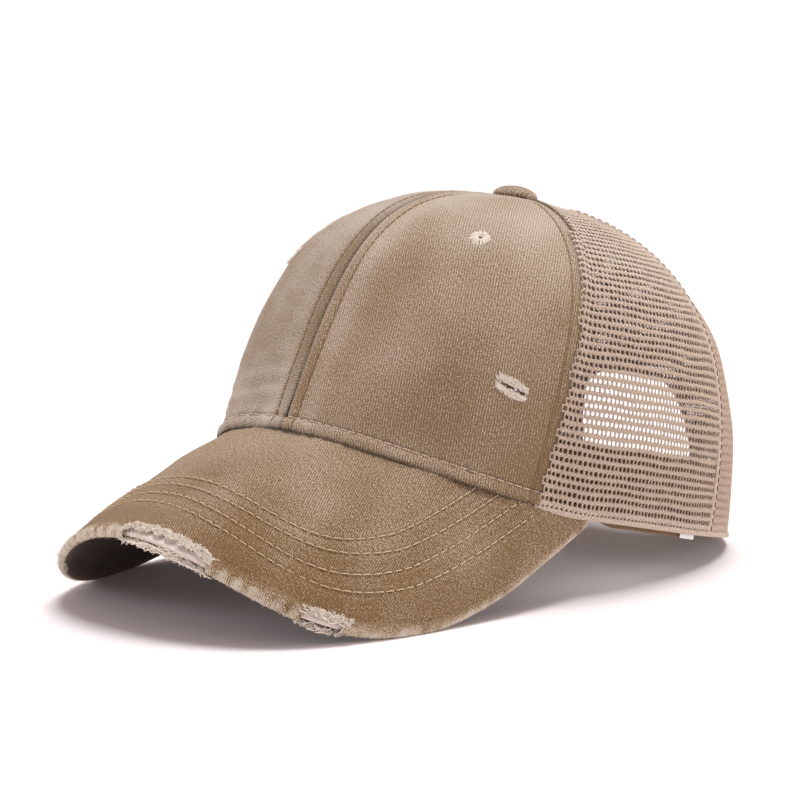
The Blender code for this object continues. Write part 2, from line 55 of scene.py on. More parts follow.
# The cap's surfaces, with the CAD source's values
CROWN_HALF_WIDTH, CROWN_FRONT, CROWN_BACK, CROWN_HEIGHT = 0.0820, 0.0985, 0.1010, 0.1095
RIM_EXPONENT, RIM_LIFT, RIM_FLAT_FROM = 2.16, 0.0164, 125.0
Profile = namedtuple("Profile", "fall shoulder belly")
PROFILES = (Profile(2.22, 2.71, -0.066), Profile(3.30, 2.30, 0.037), Profile(1.86, 1.83, -0.045))
Seam = namedtuple("Seam", "rim top")
FRONT_SEAM, TWILL_TO_MESH_SEAM = Seam(0.0, 0.0), Seam(58.2, 68.8)
MESH_SEAM, BACK_SEAM = Seam(118.6, 113.0), Seam(180.0, 180.0)
BRIM_END, BRIM_LENGTH, BRIM_SHOULDER, BRIM_FLARE, BRIM_TIP = 70.8, 0.1030, 0.0385, 0.0060, 0.0026
BRIM_TAIL_EXPONENT, BRIM_SLOPE, BRIM_CAMBER = 1.1, 31.0, 0.0018
BRIM_ROLL_SHARE, BRIM_ROLL_EASE, BRIM_THICKNESS, EDGE_FRONT_SHARE = 1.022, 0.020, 0.0040, 0.81
TIGHTENING, CORNER = (0.145, 0.50), (2.13, 1.95)
BAND_TOP, BAND_DROP, BAND_EASE, BAND_DEPTH = 0.0255, 0.0020, 10.0, 0.0018
TOP_RADIUS = 0.0030

# The rear opening, fitted to the bright patch in the photo, and sizes that only the looks have
OPENING_HALF_WIDTH, OPENING_HEIGHT, OPENING_EXPONENT, ARCH_SHIFT = 0.0268, 0.0550, 4.0, -0.0036
RIM_MM = 1.5                # millimetres of rim to a degree, near enough for patterns in the cloth
ARCH_MARGIN, SEAM_TOP, BAND_WALL = 0.0012, 0.985, 1.2
BAND_END, BAND_LIFT, BAND_RISES = 147.0, 0.6, (116.0, 108.0)
TAB_ANGLES, TAB_HEIGHTS, TAB_DEPTH = (104.8, 111.4), (-2.2, 0.8), 0.0008
BUTTON_RADIUS, BUTTON_TUCK_FROM = 0.0081, 0.76
BUTTON_EDGE, BUTTON_DOME, BUTTON_TUCK, BUTTON_SEAT = 0.0016, 0.0038, 0.0008, 0.0004
SIDES = ((1, "left"), (-1, "right"))
PRESSED_TO = 1e-4           # cloth that would sink into the floor lies this far above it
STEP = 1e-4                 # the step that directions on a surface are measured over

# Rows of stitches: from one stitch to the next, the length of one, how far it stands out, its thread's radius
Stitch = namedtuple("Stitch", "pitch length height radius")
SEAM_ROW, EDGE_ROW = Stitch(0.0030, 0.0025, 0.00022, 0.00019), Stitch(0.0030, 0.0025, 0.00018, 0.00019)
HEM_ROW, BRIM_ROW = Stitch(0.0033, 0.0027, 0.00026, 0.00021), Stitch(0.0038, 0.0033, 0.00030, 0.00019)
NET_ROW = Stitch(0.0029, 0.0018, 0.00012, 0.00022)
STITCH_STATIONS = 7

# Colours, linear
TWILL, TWILL_PALE = (0.265, 0.173, 0.084), (0.610, 0.525, 0.415)
RIGHT_TWILL, RIGHT_PALE = (0.260, 0.182, 0.102), (0.540, 0.470, 0.390)
BRIM, BRIM_PALE = (0.195, 0.110, 0.038), (0.520, 0.420, 0.300)
NET, NET_DARK = (0.670, 0.560, 0.455), (0.430, 0.310, 0.225)
BAND, FELT = (0.200, 0.110, 0.065), (0.780, 0.690, 0.630)
THREAD, GOLD_THREAD = (0.700, 0.560, 0.430), (0.700, 0.530, 0.345)
FRAY, LABEL, BARE = (0.870, 0.790, 0.690), (0.800, 0.790, 0.770), (0.600, 0.540, 0.460)
DARK_THREAD, FLOOR = (0.110, 0.070, 0.045), (0.930, 0.895, 0.905)
# The brim's underside: a near-black copy of the brim's twill, painted shade
UNDER_PAINTED_SHADE, UNDER_PALE_PAINTED_SHADE, STRAP = (0.017, 0.007, 0.004), (0.110, 0.065, 0.045), (0.420, 0.310, 0.220)


# Surfaces, on whole arrays of places

def superellipse(turn, half_across, half_along, exponent):
    across, along = np.sin(turn), np.cos(turn)
    size = np.abs(across / half_across) ** exponent + np.abs(along / half_along) ** exponent
    radius = size ** (-1.0 / exponent)
    return radius * across, radius * along


def unit(vectors):
    return vectors / np.maximum(np.linalg.norm(vectors, axis=-1, keepdims=True), 1e-12)


def bell(distance, width):
    return np.exp(-((distance / width) ** 2))


def smooth(value, low, high):
    share = np.clip((value - low) / (high - low), 0.0, 1.0)
    return share * share * (3 - 2 * share)


def ripple(u, v, wavelength, seed, waves=9):
    """Smooth noise of about unit size over a plane, from waves of fixed random directions."""
    rng = np.random.default_rng(seed)
    total = np.zeros(np.broadcast(u, v).shape)
    for _ in range(waves):
        turn, phase, stretch = rng.uniform(0, math.tau), rng.uniform(0, math.tau), rng.uniform(0.7, 1.5)
        along = (u * math.cos(turn) + v * math.sin(turn)) * math.tau / (wavelength * stretch)
        total = total + np.cos(along + phase)
    return total * math.sqrt(2.0 / waves)


def roll_radius(across, y):
    tightening = np.where(across >= 0, *TIGHTENING)
    forward = -y - CROWN_FRONT
    eased = (forward + np.hypot(forward, BRIM_ROLL_EASE)) / 2
    return BRIM_ROLL_SHARE * CROWN_HALF_WIDTH - tightening * eased


def brim_surface(across, y):
    radius = roll_radius(across, y)
    turn = across / radius
    forward = -y - CROWN_FRONT
    share = np.clip(forward / (BRIM_LENGTH - BRIM_SHOULDER), 0.0, 1.0)
    z = RIM_LIFT - radius * (1 - np.cos(turn)) - forward * math.tan(math.radians(BRIM_SLOPE))
    z = z + BRIM_CAMBER * 4 * share * (1 - share)
    return np.stack(np.broadcast_arrays(radius * np.sin(turn), y, z), axis=-1)


def brim_point(across, y, depth):
    point = brim_surface(across, y)
    sideways = brim_surface(across + STEP, y) - point
    backwards = brim_surface(across, y + STEP) - point
    return point - unit(np.cross(sideways, backwards)) * np.asarray(depth)[..., None]


def rim_plan(angle):
    reach = np.where(np.cos(angle) > 0, CROWN_FRONT, CROWN_BACK)
    across, along = superellipse(angle, CROWN_HALF_WIDTH, reach, RIM_EXPONENT)
    return across, -along


def pattern_rim(angle):
    x, y = rim_plan(angle)
    radius = roll_radius(x, y)
    return radius * np.arcsin(np.clip(x / radius, -1, 1)), y


def rim_on_brim(angle):
    return brim_surface(*pattern_rim(angle))[..., 2]


def rim_height(angle):
    turn = np.abs(angle)
    end, flat = math.radians(BRIM_END), math.radians(RIM_FLAT_FROM)
    side = np.where(angle >= 0, 1.0, -1.0)
    start = rim_on_brim(side * end)
    slope = (start - rim_on_brim(side * (end - STEP))) / STEP * (flat - end)
    share = np.clip((turn - end) / (flat - end), 0.0, 1.0)
    behind = (1 - share) ** 2 * (start * (1 + 2 * share) + slope * share)
    return np.where(turn <= end, rim_on_brim(np.clip(angle, -end, end)), behind)


def crown_share(angle, share):
    share = np.clip(share, 0.0, 1.0)
    front = np.maximum(np.cos(angle), 0.0) ** 2
    back = np.maximum(-np.cos(angle), 0.0) ** 2
    weights = (front, 1 - front - back, back)
    fall, shoulder, belly = (
        sum(weight * value for weight, value in zip(weights, values)) for values in zip(*PROFILES)
    )
    left = np.maximum(1 - share ** fall, 0.0) ** (1 / shoulder)
    return left * (1 + 4 * belly * share * (1 - share))


def crown_surface(angle, share):
    angle, share = np.broadcast_arrays(np.asarray(angle, float), np.asarray(share, float))
    x, y = rim_plan(angle)
    left = crown_share(angle, share)
    low = rim_height(angle)
    return np.stack((x * left, y * left, low + (CROWN_HEIGHT - low) * share), axis=-1)


def crown_normal(angle, share):
    point = crown_surface(angle, share)
    around = crown_surface(angle + STEP, share) - point
    upwards = point - crown_surface(angle, share - STEP)
    return unit(np.cross(around, upwards))


def crown_point(angle, share, lift):
    return crown_surface(angle, share) + crown_normal(angle, share) * np.asarray(lift)[..., None]


def crown_axes(angle, share):
    """A place on the crown, with the directions around, up and out of it."""
    centre = crown_surface(angle, share)
    normal = crown_normal(angle, share)
    around = unit(crown_surface(angle + STEP, share) - centre)
    return centre, around, np.cross(normal, around), normal


def beside(axes, a, b, height):
    """Points by their millimetres around, up and out from a place on the crown."""
    centre, around, upwards, normal = axes
    return (centre + around * (a * MM)[..., None] + upwards * (b * MM)[..., None]
            + normal * (height * MM)[..., None])


def curve_depth(a, b, angle, share):
    """How far the crown's surface lies under its tangent plane at a place, for offsets in millimetres."""
    centre, around, upwards, normal = crown_axes(angle, share)
    deepest, turn, climb = 8.0, 0.08, 0.06
    bends = []
    for direction, step in ((around, (turn, 0.0)), (upwards, (0.0, climb))):
        ends = [crown_surface(angle + way * step[0], share + way * step[1]) - centre for way in (1, -1)]
        bends.append(np.mean([end @ normal / (end @ direction) ** 2 for end in ends]))
    return np.clip((bends[0] * a ** 2 + bends[1] * b ** 2) * MM, -deepest, 0.0)


def share_at_radius(angle, radius):
    """The share of the height at which the crown has closed in to a radius, by halving."""
    reach = np.hypot(*rim_plan(angle))
    low, high = np.full(np.shape(angle), 0.5), np.ones(np.shape(angle))
    for _ in range(30):
        middle = (low + high) / 2
        outside = crown_share(angle, middle) * reach > radius
        low, high = np.where(outside, middle, low), np.where(outside, high, middle)
    return (low + high) / 2


def share_above_rim(angle, height):
    return height / (CROWN_HEIGHT - rim_height(angle))


# Meshes from arrays

def set_down(points):
    return points @ RESTING[:, :3].T + RESTING[:, 3]


def add_object(name, data):
    item = bpy.data.objects.new(name, data)
    bpy.context.scene.collection.objects.link(item)
    return item


def add_piece(name, points, faces, material, replaces=(), attributes=None):
    """A mesh of the cap from points in the cap's frame; attributes are values for each point."""
    mesh = bpy.data.meshes.new(name)
    places = set_down(points.reshape(-1, 3))
    places[:, 2] = np.maximum(places[:, 2], PRESSED_TO)
    mesh.from_pydata(places.tolist(), [], faces)
    for key, values in (attributes or {}).items():
        kind, field = ("FLOAT_VECTOR", "vector") if key == "cloth" else ("FLOAT", "value")
        layer = mesh.attributes.new(key, kind, "POINT")
        layer.data.foreach_set(field, np.ascontiguousarray(values, np.float32).ravel())
    mesh.shade_smooth()
    mesh.materials.append(MATERIALS[material])
    item = add_object(name, mesh)
    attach(item, "root")
    if replaces:
        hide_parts(*replaces)


def whole_quads(gone):
    """A mask of the quads of a grid that none of its missing points touches."""
    return ~(gone[:-1, :-1] | gone[1:, 1:] | gone[:-1, 1:] | gone[1:, :-1])


def grid_faces(rows, columns, keep=None, flip=False, offset=0):
    """Quads of a grid of points, rows first; keep is a mask for each quad."""
    first = (np.arange(rows - 1)[:, None] * columns + np.arange(columns - 1)[None, :]) + offset
    quads = np.stack((first, first + 1, first + columns + 1, first + columns), axis=-1)
    if flip:
        quads = quads[..., ::-1]
    quads = quads.reshape(-1, 4)
    if keep is not None:
        quads = quads[keep.ravel()]
    return quads.tolist()


def tube_points(paths, radii, sides):
    """Tubes round many paths at once: paths is (tubes, stations, 3) and radii fits (tubes, stations)."""
    tangents = unit(np.gradient(paths, axis=1))
    across = unit(np.cross(tangents, np.array([0.31, 0.52, 0.79])))
    up = np.cross(tangents, across)
    turns = np.arange(sides) * math.tau / sides
    ring = across[:, :, None] * np.cos(turns)[:, None] + up[:, :, None] * np.sin(turns)[:, None]
    return paths[:, :, None] + ring * np.broadcast_to(radii, paths.shape[:2])[:, :, None, None]


def tube_faces(count, stations, sides, offset=0):
    tube = np.arange(count)[:, None, None] * stations * sides + offset
    station = np.arange(stations - 1)[None, :, None] * sides
    side = np.arange(sides)[None, None, :]
    near, far = side, (side + 1) % sides
    quads = np.stack(
        (tube + station + near, tube + station + far, tube + station + sides + far,
         tube + station + sides + near), axis=-1)
    return quads.reshape(-1, 4).tolist()


def add_tubes(name, paths, radii, sides, material, replaces=()):
    faces = tube_faces(paths.shape[0], paths.shape[1], sides)
    add_piece(name, tube_points(paths, radii, sides), faces, material, replaces)


def stitches_along(path, normals, stitch):
    """Stitches along a path of close points: each rises out of the cloth and dips back into it."""
    steps = np.linalg.norm(np.diff(path, axis=0), axis=1)
    distance = np.concatenate(([0.0], np.cumsum(steps)))
    starts = np.arange(stitch.pitch / 2, distance[-1] - stitch.length, stitch.pitch)
    shares = np.linspace(0.0, 1.0, STITCH_STATIONS)
    at = starts[:, None] + shares[None, :] * stitch.length
    from_middle = np.abs(2 * shares - 1)
    lift = stitch.height * (1 - from_middle ** 4) - stitch.height * 0.7 * (from_middle > 0.9)
    centre, normal = (
        np.stack([np.interp(at, distance, values[:, axis]) for axis in range(3)], axis=-1)
        for values in (path, normals)
    )
    return centre + unit(normal) * lift[None, :, None]


# Materials

class Nodes:
    """Short ways to add and join shader nodes."""

    def __init__(self, name):
        self.material = bpy.data.materials.new(name)
        self.material.use_nodes = True
        self.tree = self.material.node_tree
        self.shader = self.tree.nodes["Principled BSDF"]

    def put(self, socket, value):
        if isinstance(value, bpy.types.NodeSocket):
            self.tree.links.new(value, socket)
        else:
            socket.default_value = value

    def add(self, kind, inputs=(), output=0, **settings):
        node = self.tree.nodes.new(kind)
        for key, value in settings.items():
            setattr(node, key, value)
        for key, value in dict(inputs).items():
            self.put(node.inputs[key], value)
        return node.outputs[output]

    def math(self, operation, a, b=0.0, c=0.0):
        return self.add("ShaderNodeMath", {0: a, 1: b, 2: c}, operation=operation)

    def mix(self, share, a, b, blend="MIX"):
        node = self.tree.nodes.new("ShaderNodeMix")
        node.data_type = "RGBA"
        node.blend_type = blend
        self.put(node.inputs[0], share)
        self.put(node.inputs[6], a)
        self.put(node.inputs[7], b)
        return node.outputs[2]

    def clamp(self, value):
        return self.add("ShaderNodeClamp", {"Value": value})

    def value(self, name):
        return self.add("ShaderNodeAttribute", output="Fac", attribute_name=name)

    def vector(self, name):
        return self.add("ShaderNodeAttribute", output="Vector", attribute_name=name)

    def wave(self, place, direction, pitch, drift):
        """A sine of the place along a direction, with its lines drifting by a noise."""
        along = self.add("ShaderNodeVectorMath", {0: place, 1: (*direction, 0.0)}, "Value",
                         operation="DOT_PRODUCT")
        drifted = self.math("MULTIPLY_ADD", drift, 1.6, self.math("MULTIPLY", along, math.tau / pitch))
        return self.math("SINE", drifted)

    def noise(self, place, scale, detail=2.0, stretch=(1.0, 1.0, 1.0)):
        stretched = self.add("ShaderNodeVectorMath", {0: place, 1: stretch}, operation="MULTIPLY")
        return self.add("ShaderNodeTexNoise", {"Vector": stretched, "Scale": scale, "Detail": detail},
                        "Fac")

    def finish(self, colour, roughness, specular, height=None, strength=0.0, depth=0.0, sheen=0.0):
        """Set the cloth's shader, with a bump from a height where there is one."""
        values = {"Base Color": colour, "Roughness": roughness, "Specular IOR Level": specular,
                  "Sheen Weight": sheen}
        if height is not None:
            values["Normal"] = self.add("ShaderNodeBump",
                                        {"Height": height, "Strength": strength, "Distance": depth})
        for key, value in values.items():
            self.put(self.shader.inputs[key], value)
        return self.material


def rgba(colour, factor=1.0):
    return (*(min(part * factor, 1.0) for part in colour), 1.0)


def twill_material(name, base, pale, wale, wale_pitch=1.0):
    """Washed twill: wales, slubs and grain on a dyed cloth that has faded unevenly, with light and shade
    painted in from its attributes.
    """
    n = Nodes(name)
    place = n.vector("cloth")
    drift = n.noise(place, 0.25, 3.0)
    wales = n.wave(place, wale, wale_pitch, n.math("MULTIPLY", drift, 2.2))
    cross = n.wave(place, (-wale[1], wale[0]), 0.62, n.math("MULTIPLY", drift, 3.0))
    grain = n.noise(place, 1.7, 3.0, (1.0, 0.55, 1.0))
    flecks = n.noise(place, 2.5, 2.0, (1.0, 0.75, 1.0))
    clouds = n.noise(place, 0.045, 4.0)
    # How pale the cloth is: fading and wear, with painted light and painted shade from the attribute
    worn = n.math("ADD", n.value("fade"), n.math("MULTIPLY_ADD", clouds, 0.7, -0.35))
    worn = n.math("ADD", worn, n.math("MULTIPLY_ADD", flecks, 3.8, -1.9))
    worn = n.math("ADD", worn, n.math("MULTIPLY_ADD", grain, 1.9, -0.95))
    worn = n.math("ADD", worn, n.math("MULTIPLY", wales, 0.25))
    colour = n.mix(n.clamp(n.math("ADD", worn, 0.30)), rgba(base), rgba(pale))
    bared = tuple(min(part, shade * 1.6) for part, shade in zip(BARE, pale))
    colour = n.mix(n.clamp(n.math("ADD", worn, -0.65)), colour, rgba(bared))
    # The lines of the wales, darkened by painted shade in seams, grooves and under edges
    lines = n.math("MULTIPLY_ADD", wales, 0.08, 0.92)
    lines = n.math("MULTIPLY", lines, n.math("SUBTRACT", 1.0, n.value("soil")))
    colour = n.mix(1.0, colour, n.add("ShaderNodeCombineColor", {0: lines, 1: lines, 2: lines}), "MULTIPLY")
    height = n.math("MULTIPLY_ADD", wales, 0.35, n.math("MULTIPLY_ADD", cross, 0.15, grain))
    return n.finish(colour, 0.92, 0.15, height, 0.7, 0.00025, sheen=0.12)


def plain_material(name, colour, variation=0.18, scale=900.0, bump=0.4):
    """Thread, felt or tape: one colour with a fine mottle."""
    n = Nodes(name)
    mottle = n.noise(n.add("ShaderNodeTexCoord", output="Object"), scale, 3.0)
    mottled = n.mix(mottle, rgba(colour, 1 - variation), rgba(colour, 1 + variation))
    return n.finish(mottled, 0.9, 0.15, mottle, bump, 0.0002)


def net_material(name):
    """Knitted net: a slanting stitch pattern in relief, darker and browner low down, with painted shade on
    the back panels.
    """
    n = Nodes(name)
    place = n.vector("cloth")
    drift = n.noise(place, 0.9, 2.0)
    slant = n.wave(place, (0.70, 0.71), 0.95, drift)
    other = n.wave(place, (-0.70, 0.71), 0.95, drift)
    grain = n.noise(place, 1.3, 3.0)
    valleys = n.math("MAXIMUM", slant, other)
    mottle = n.math("MULTIPLY_ADD", grain, 1.6, -0.35)
    share = n.clamp(n.math("MULTIPLY_ADD", valleys, -0.35, mottle))
    colour = n.mix(share, rgba(NET, 1.15), rgba(NET, 0.50))
    colour = n.mix(n.value("soil"), colour, rgba(NET_DARK))
    return n.finish(colour, 0.8, 0.25, valleys, 0.6, 0.00025)


MATERIALS = {
    "left": twill_material("twill_left", TWILL, TWILL_PALE, (1.0, 0.10), 0.92),
    "right": twill_material("twill_right", RIGHT_TWILL, RIGHT_PALE, (0.45, -0.89), 1.0),
    "brim": twill_material("twill_brim", BRIM, BRIM_PALE, (0.83, 0.56), 0.85),
    # The brim's underside, in painted shade
    "under": twill_material("twill_under_painted_shade", UNDER_PAINTED_SHADE, UNDER_PALE_PAINTED_SHADE, (0.83, 0.56), 0.85),
    "band": twill_material("twill_band", BAND, TWILL, (0.8, 0.6)),
    "net": net_material("net"),
    "thread": plain_material("thread", THREAD),
    "gold": plain_material("gold_thread", GOLD_THREAD),
    "twill_thread": plain_material("twill_thread", rgba(TWILL, 1.25)[:3]),
    "fray": plain_material("frayed_thread", FRAY),
    "felt": plain_material("felt", FELT, 0.22, 700.0, 0.8),
    "label": plain_material("label_tape", LABEL, 0.05),
    "net_plain": plain_material("net_binding", rgba(NET, 0.85)[:3], 0.25, 1100.0, 0.9),
    "strap": plain_material("strap_twill", STRAP, 0.25, 1100.0, 0.9),
    "dark": plain_material("dark_thread", DARK_THREAD),
}


# Panels

def seam_angle(seam, rise, side):
    return side * np.radians(seam.rim + (seam.top - seam.rim) * rise)


class PanelGrid:
    """A grid of places on one panel, with cloth coordinates in millimetres."""

    def __init__(self, side, front_seam, rear_seam, columns, rows):
        up = np.linspace(0.0, 1.0, rows)[:, None]
        across = np.linspace(0.0, 1.0, columns)[None, :]
        self.rise = 1 - (1 - up) ** ROW_CROWDING
        front = seam_angle(front_seam, self.rise, side)
        rear = seam_angle(rear_seam, self.rise, side)
        self.angle = front + (rear - front) * across
        low = share_above_rim(self.angle, RIM_GAP)
        high = share_at_radius(self.angle, TOP_RADIUS)
        self.share = low + (high - low) * self.rise
        flat = crown_surface(self.angle, self.share)
        self.from_front, self.up = (
            np.pad(np.cumsum(np.linalg.norm(np.diff(flat, axis=axis), axis=2), axis=axis), pad) / MM
            for axis, pad in ((1, ((0, 0), (1, 0))), (0, ((1, 0), (0, 0))))
        )
        self.width = self.from_front[:, -1:]
        self.from_rear = self.width - self.from_front
        self.u = side * (self.from_front - self.width / 2)
        self.v = np.broadcast_to(self.up[:, columns // 2][:, None], self.u.shape)

    def points(self, lift):
        return crown_point(self.angle, self.share, lift * MM)


def place_offsets(grid, angle, share):
    """Across and up from a place on the crown, in millimetres, for each point of a panel's grid."""
    centre, around, upwards, _ = crown_axes(angle, share)
    away = crown_surface(grid.angle, grid.share) - centre
    return away @ around / MM, away @ upwards / MM


ROW_CROWDING, RIM_GAP = 1.25, 0.0003
PANEL_COLUMNS, PANEL_ROWS, INNER_EVERY = 200, 250, 6
TWILL_DEPTH, CLOTH_APART = -1.1, 300.0
Tear = namedtuple("Tear", "angle share half_width half_height patch_width patch_height tilt")
PANEL_TEARS = {
    1: Tear(48.2, 0.344, 4.7, 0.55, 5.6, 3.5, -0.22),
    -1: Tear(-35.5, 0.690, 4.0, 0.9, 5.4, 4.2, 0.1),
}
EYELET_ANGLE, EYELET_SHARE, EYELET_RADIUS, EYELET_HOLE = 34.7, 0.809, 0.0043, 1.0
HEM_STITCH, SEAM_STITCH, EDGE_STITCH = 4.8, 5.2, 5.0

# Soft bands that follow a front panel's front seam, rear seam, hem or eyelet: how far from it and how wide,
# and what they add to the relief, to the fading and to the painted shade that darkens seams, grooves and the
# eyelet
Band = namedtuple("Band", "line at width lift fade soil")
BANDS = [
    Band("front", 0.0, 0.60, -0.45, 0.0, 0.0),
    Band("front", 0.0, 0.70, 0.0, 0.0, 0.50),
    Band("front", 1.6, 0.60, 0.0, 0.10, 0.0),
    Band("front", 3.0, 2.40, 0.0, -0.18, 0.0),
    Band("front", SEAM_STITCH, 0.50, -0.30, 0.0, 0.26),
    Band("front", 6.8, 0.90, 0.10, 0.0, 0.0),
    Band("front", 9.0, 5.00, 0.0, 0.26, 0.0),
    Band("rear", 0.0, 1.00, -0.50, 0.0, 0.0),
    Band("rear", 2.6, 1.80, 0.18, 0.0, 0.0),
    Band("rear", EDGE_STITCH, 0.50, -0.20, 0.0, 0.22),
    Band("hem", 0.0, 0.80, 0.0, 0.0, 0.62),
    Band("hem", HEM_STITCH, 0.50, -0.38, 0.0, 0.0),
    Band("hem", HEM_STITCH, 0.80, 0.0, 0.20, 0.0),
    Band("hem", HEM_STITCH + 0.3, 0.55, 0.0, 0.0, 0.34),
    Band("eyelet", 0.0, 3.60, -0.25, 0.0, 0.55),
    Band("eyelet", 4.4, 1.50, 0.0, 0.25, 0.0),
]


def front_panel(side, word):
    grid = PanelGrid(side, FRONT_SEAM, TWILL_TO_MESH_SEAM, PANEL_COLUMNS, PANEL_ROWS)
    d, e, h, u, v = grid.from_front, grid.from_rear, grid.up, grid.u, grid.v
    seed = 11 if side > 0 else 29
    ring = np.hypot(*place_offsets(grid, side * math.radians(EYELET_ANGLE), EYELET_SHARE))
    lines = {"front": d, "rear": e, "hem": h, "eyelet": ring}
    bands = [(band, bell(lines[band.line] - band.at, band.width)) for band in BANDS]
    # The bands' relief, their fading, and the painted shade in the seams, the stitch grooves, the hem and
    # round the eyelet
    lift = sum(band.lift * shape for band, shape in bands)
    fade = sum(band.fade * shape for band, shape in bands)
    soil = np.clip(sum(band.soil * shape for band, shape in bands), 0.0, 0.85)

    # The rolled seam and hem, with their puckers, and the slack in the cloth
    puckers = 1 + 0.07 * np.sin(v * math.tau / 4.6 + 1.5 * ripple(u, v, 20, seed))
    hem = np.sin(math.pi * np.clip((h + 0.6) / (HEM_STITCH + 0.6), 0.0, 1.0)) * (h < HEM_STITCH)
    above = np.exp(-np.maximum(h - HEM_STITCH, 0.0) / 7.0) * (h > HEM_STITCH)
    lift += 0.42 * puckers * bell(d - 2.6, 1.5) + 0.95 * hem
    lift += 0.28 * above * ripple(u, v * 0.18, 6.5, seed + 1)
    lift += 0.16 * (h < HEM_STITCH) * ripple(u, v * 0.4, 3.6, seed + 2)
    lift += 0.30 * ripple(u, v, 46, seed + 3) * smooth(np.minimum(d, e), 0, 12)
    if side < 0:
        lift += 0.22 * bell(h - 14, 14) * ripple(u * 0.30, v, 9, seed + 4) * smooth(d, 2, 12)
        lift += 0.10 * ripple(u, v, 17, seed + 7) * smooth(d, 4, 12)

    # The tear, in a worn patch, and the eyelet's hole
    tear = PANEL_TEARS[side]
    a, b = place_offsets(grid, math.radians(tear.angle), tear.share)
    b = b - tear.tilt * a
    patch = np.clip(1.25 - np.hypot(a / tear.patch_width, b / tear.patch_height), 0.0, 1.0)
    edge = tear.half_height * np.maximum(1 - (a / tear.half_width) ** 2, 0.0)
    edge = edge * (1 + 0.35 * ripple(a, 0 * a, 2.3, seed + 5))
    lift += 0.35 * bell(np.abs(b) - 1.6, 1.3) * (np.abs(a) < tear.patch_width) * bell(a, 5.5)
    hole = (np.abs(b) < edge) & (np.abs(a) < tear.half_width) | (ring < EYELET_HOLE)

    # Paler towards the top, painted light, and faded at the patch; darker low down and by the rear seam,
    # painted shade
    fade += 0.16 * hem + 0.42 * smooth(grid.rise, 0.60, 0.92) + 0.07 * ripple(u, v, 38, seed + 6)
    fade -= 0.14 * bell(h - 18, 22) * smooth(d, 8, 30) + 0.22 * smooth(e, 40, 10) * smooth(h, 75, 25)
    fade += 0.9 * smooth(patch, 0.2, 0.75)
    # The right panel is paler all over, with painted shade at mid height and painted light low down
    if side < 0:
        fade += 0.14 - 0.22 * bell(grid.rise - 0.42, 0.25) + 0.45 * bell(h - 10, 17)
        fade += 0.05 * ripple(u, v, 9, seed + 8) * smooth(d, 4, 10) - 0.26 * bell(d - 2.6, 2.4)

    outer = grid.points(lift)
    inner = grid.points(np.full(d.shape, TWILL_DEPTH))[::INNER_EVERY, ::INNER_EVERY]
    faces = grid_faces(*d.shape, whole_quads(hole), flip=side < 0)
    inner_keep = np.ones((inner.shape[0] - 1, inner.shape[1] - 1), bool)
    last = np.array(inner_keep.shape) - 1
    inner_keep[tuple(np.minimum(np.argwhere(hole) // INNER_EVERY, last).T)] = False
    faces += grid_faces(*inner.shape[:2], inner_keep, flip=side > 0, offset=d.size)
    cloth = np.stack((u + CLOTH_APART * side, v, np.zeros_like(u)), axis=-1)
    attributes = {
        key: np.concatenate((value.ravel(), value[::INNER_EVERY, ::INNER_EVERY].ravel()))
        for key, value in (("cloth", cloth), ("fade", fade), ("soil", soil))
    }
    points = np.concatenate((outer.reshape(-1, 3), inner.reshape(-1, 3)))
    add_piece(f"twill_{word}", points, faces, word, (f"front_panel_{word}",), attributes)
    return grid, outer


def upright_path(grid, points, distance, column):
    """A line up a panel's surface at a distance from its front seam, as points and normals."""
    distances = np.broadcast_to(distance, len(points))
    path = [[np.interp(at, run, row[:, axis]) for axis in range(3)]
            for at, run, row in zip(distances, grid.from_front, points)]
    return np.array(path), crown_normal(grid.angle[:, column], grid.share[:, column])


def row_path(grid, points, height):
    """A line along a panel's surface at a height above its rim, as points and normals."""
    path, rows = [], []
    for column, climb in enumerate(grid.up.T):
        path.append([np.interp(height, climb, points[:, column, axis]) for axis in range(3)])
        rows.append(np.searchsorted(climb, height))
    columns = np.arange(len(rows))
    return np.array(path), crown_normal(grid.angle[rows, columns], grid.share[rows, columns])


# Net

NET_ACROSS, NET_DOWN = 1.85, 2.80
HOLE_HALF_WIDTH, HOLE_HALF_HEIGHT, HOLE_ROUNDNESS = 0.64, 0.78, 0.6
CORNERS, FRONT_OVERLAP = 8, 3.0     # corners of a hole, and millimetres of net laid over the front panel
OUTER_LIFTS, INNER_LIFTS = (0.05, -0.12), (-0.42, -0.28)    # at a cell's edge and at its hole
# The size of each panel's holes against the ones nearest to the viewer in the photo: further round the net
# shows as nearly closed
OPENNESS = {"side_mesh_left": 1.0, "back_mesh_left": 0.55, "side_mesh_right": 0.45, "back_mesh_right": 0.45}


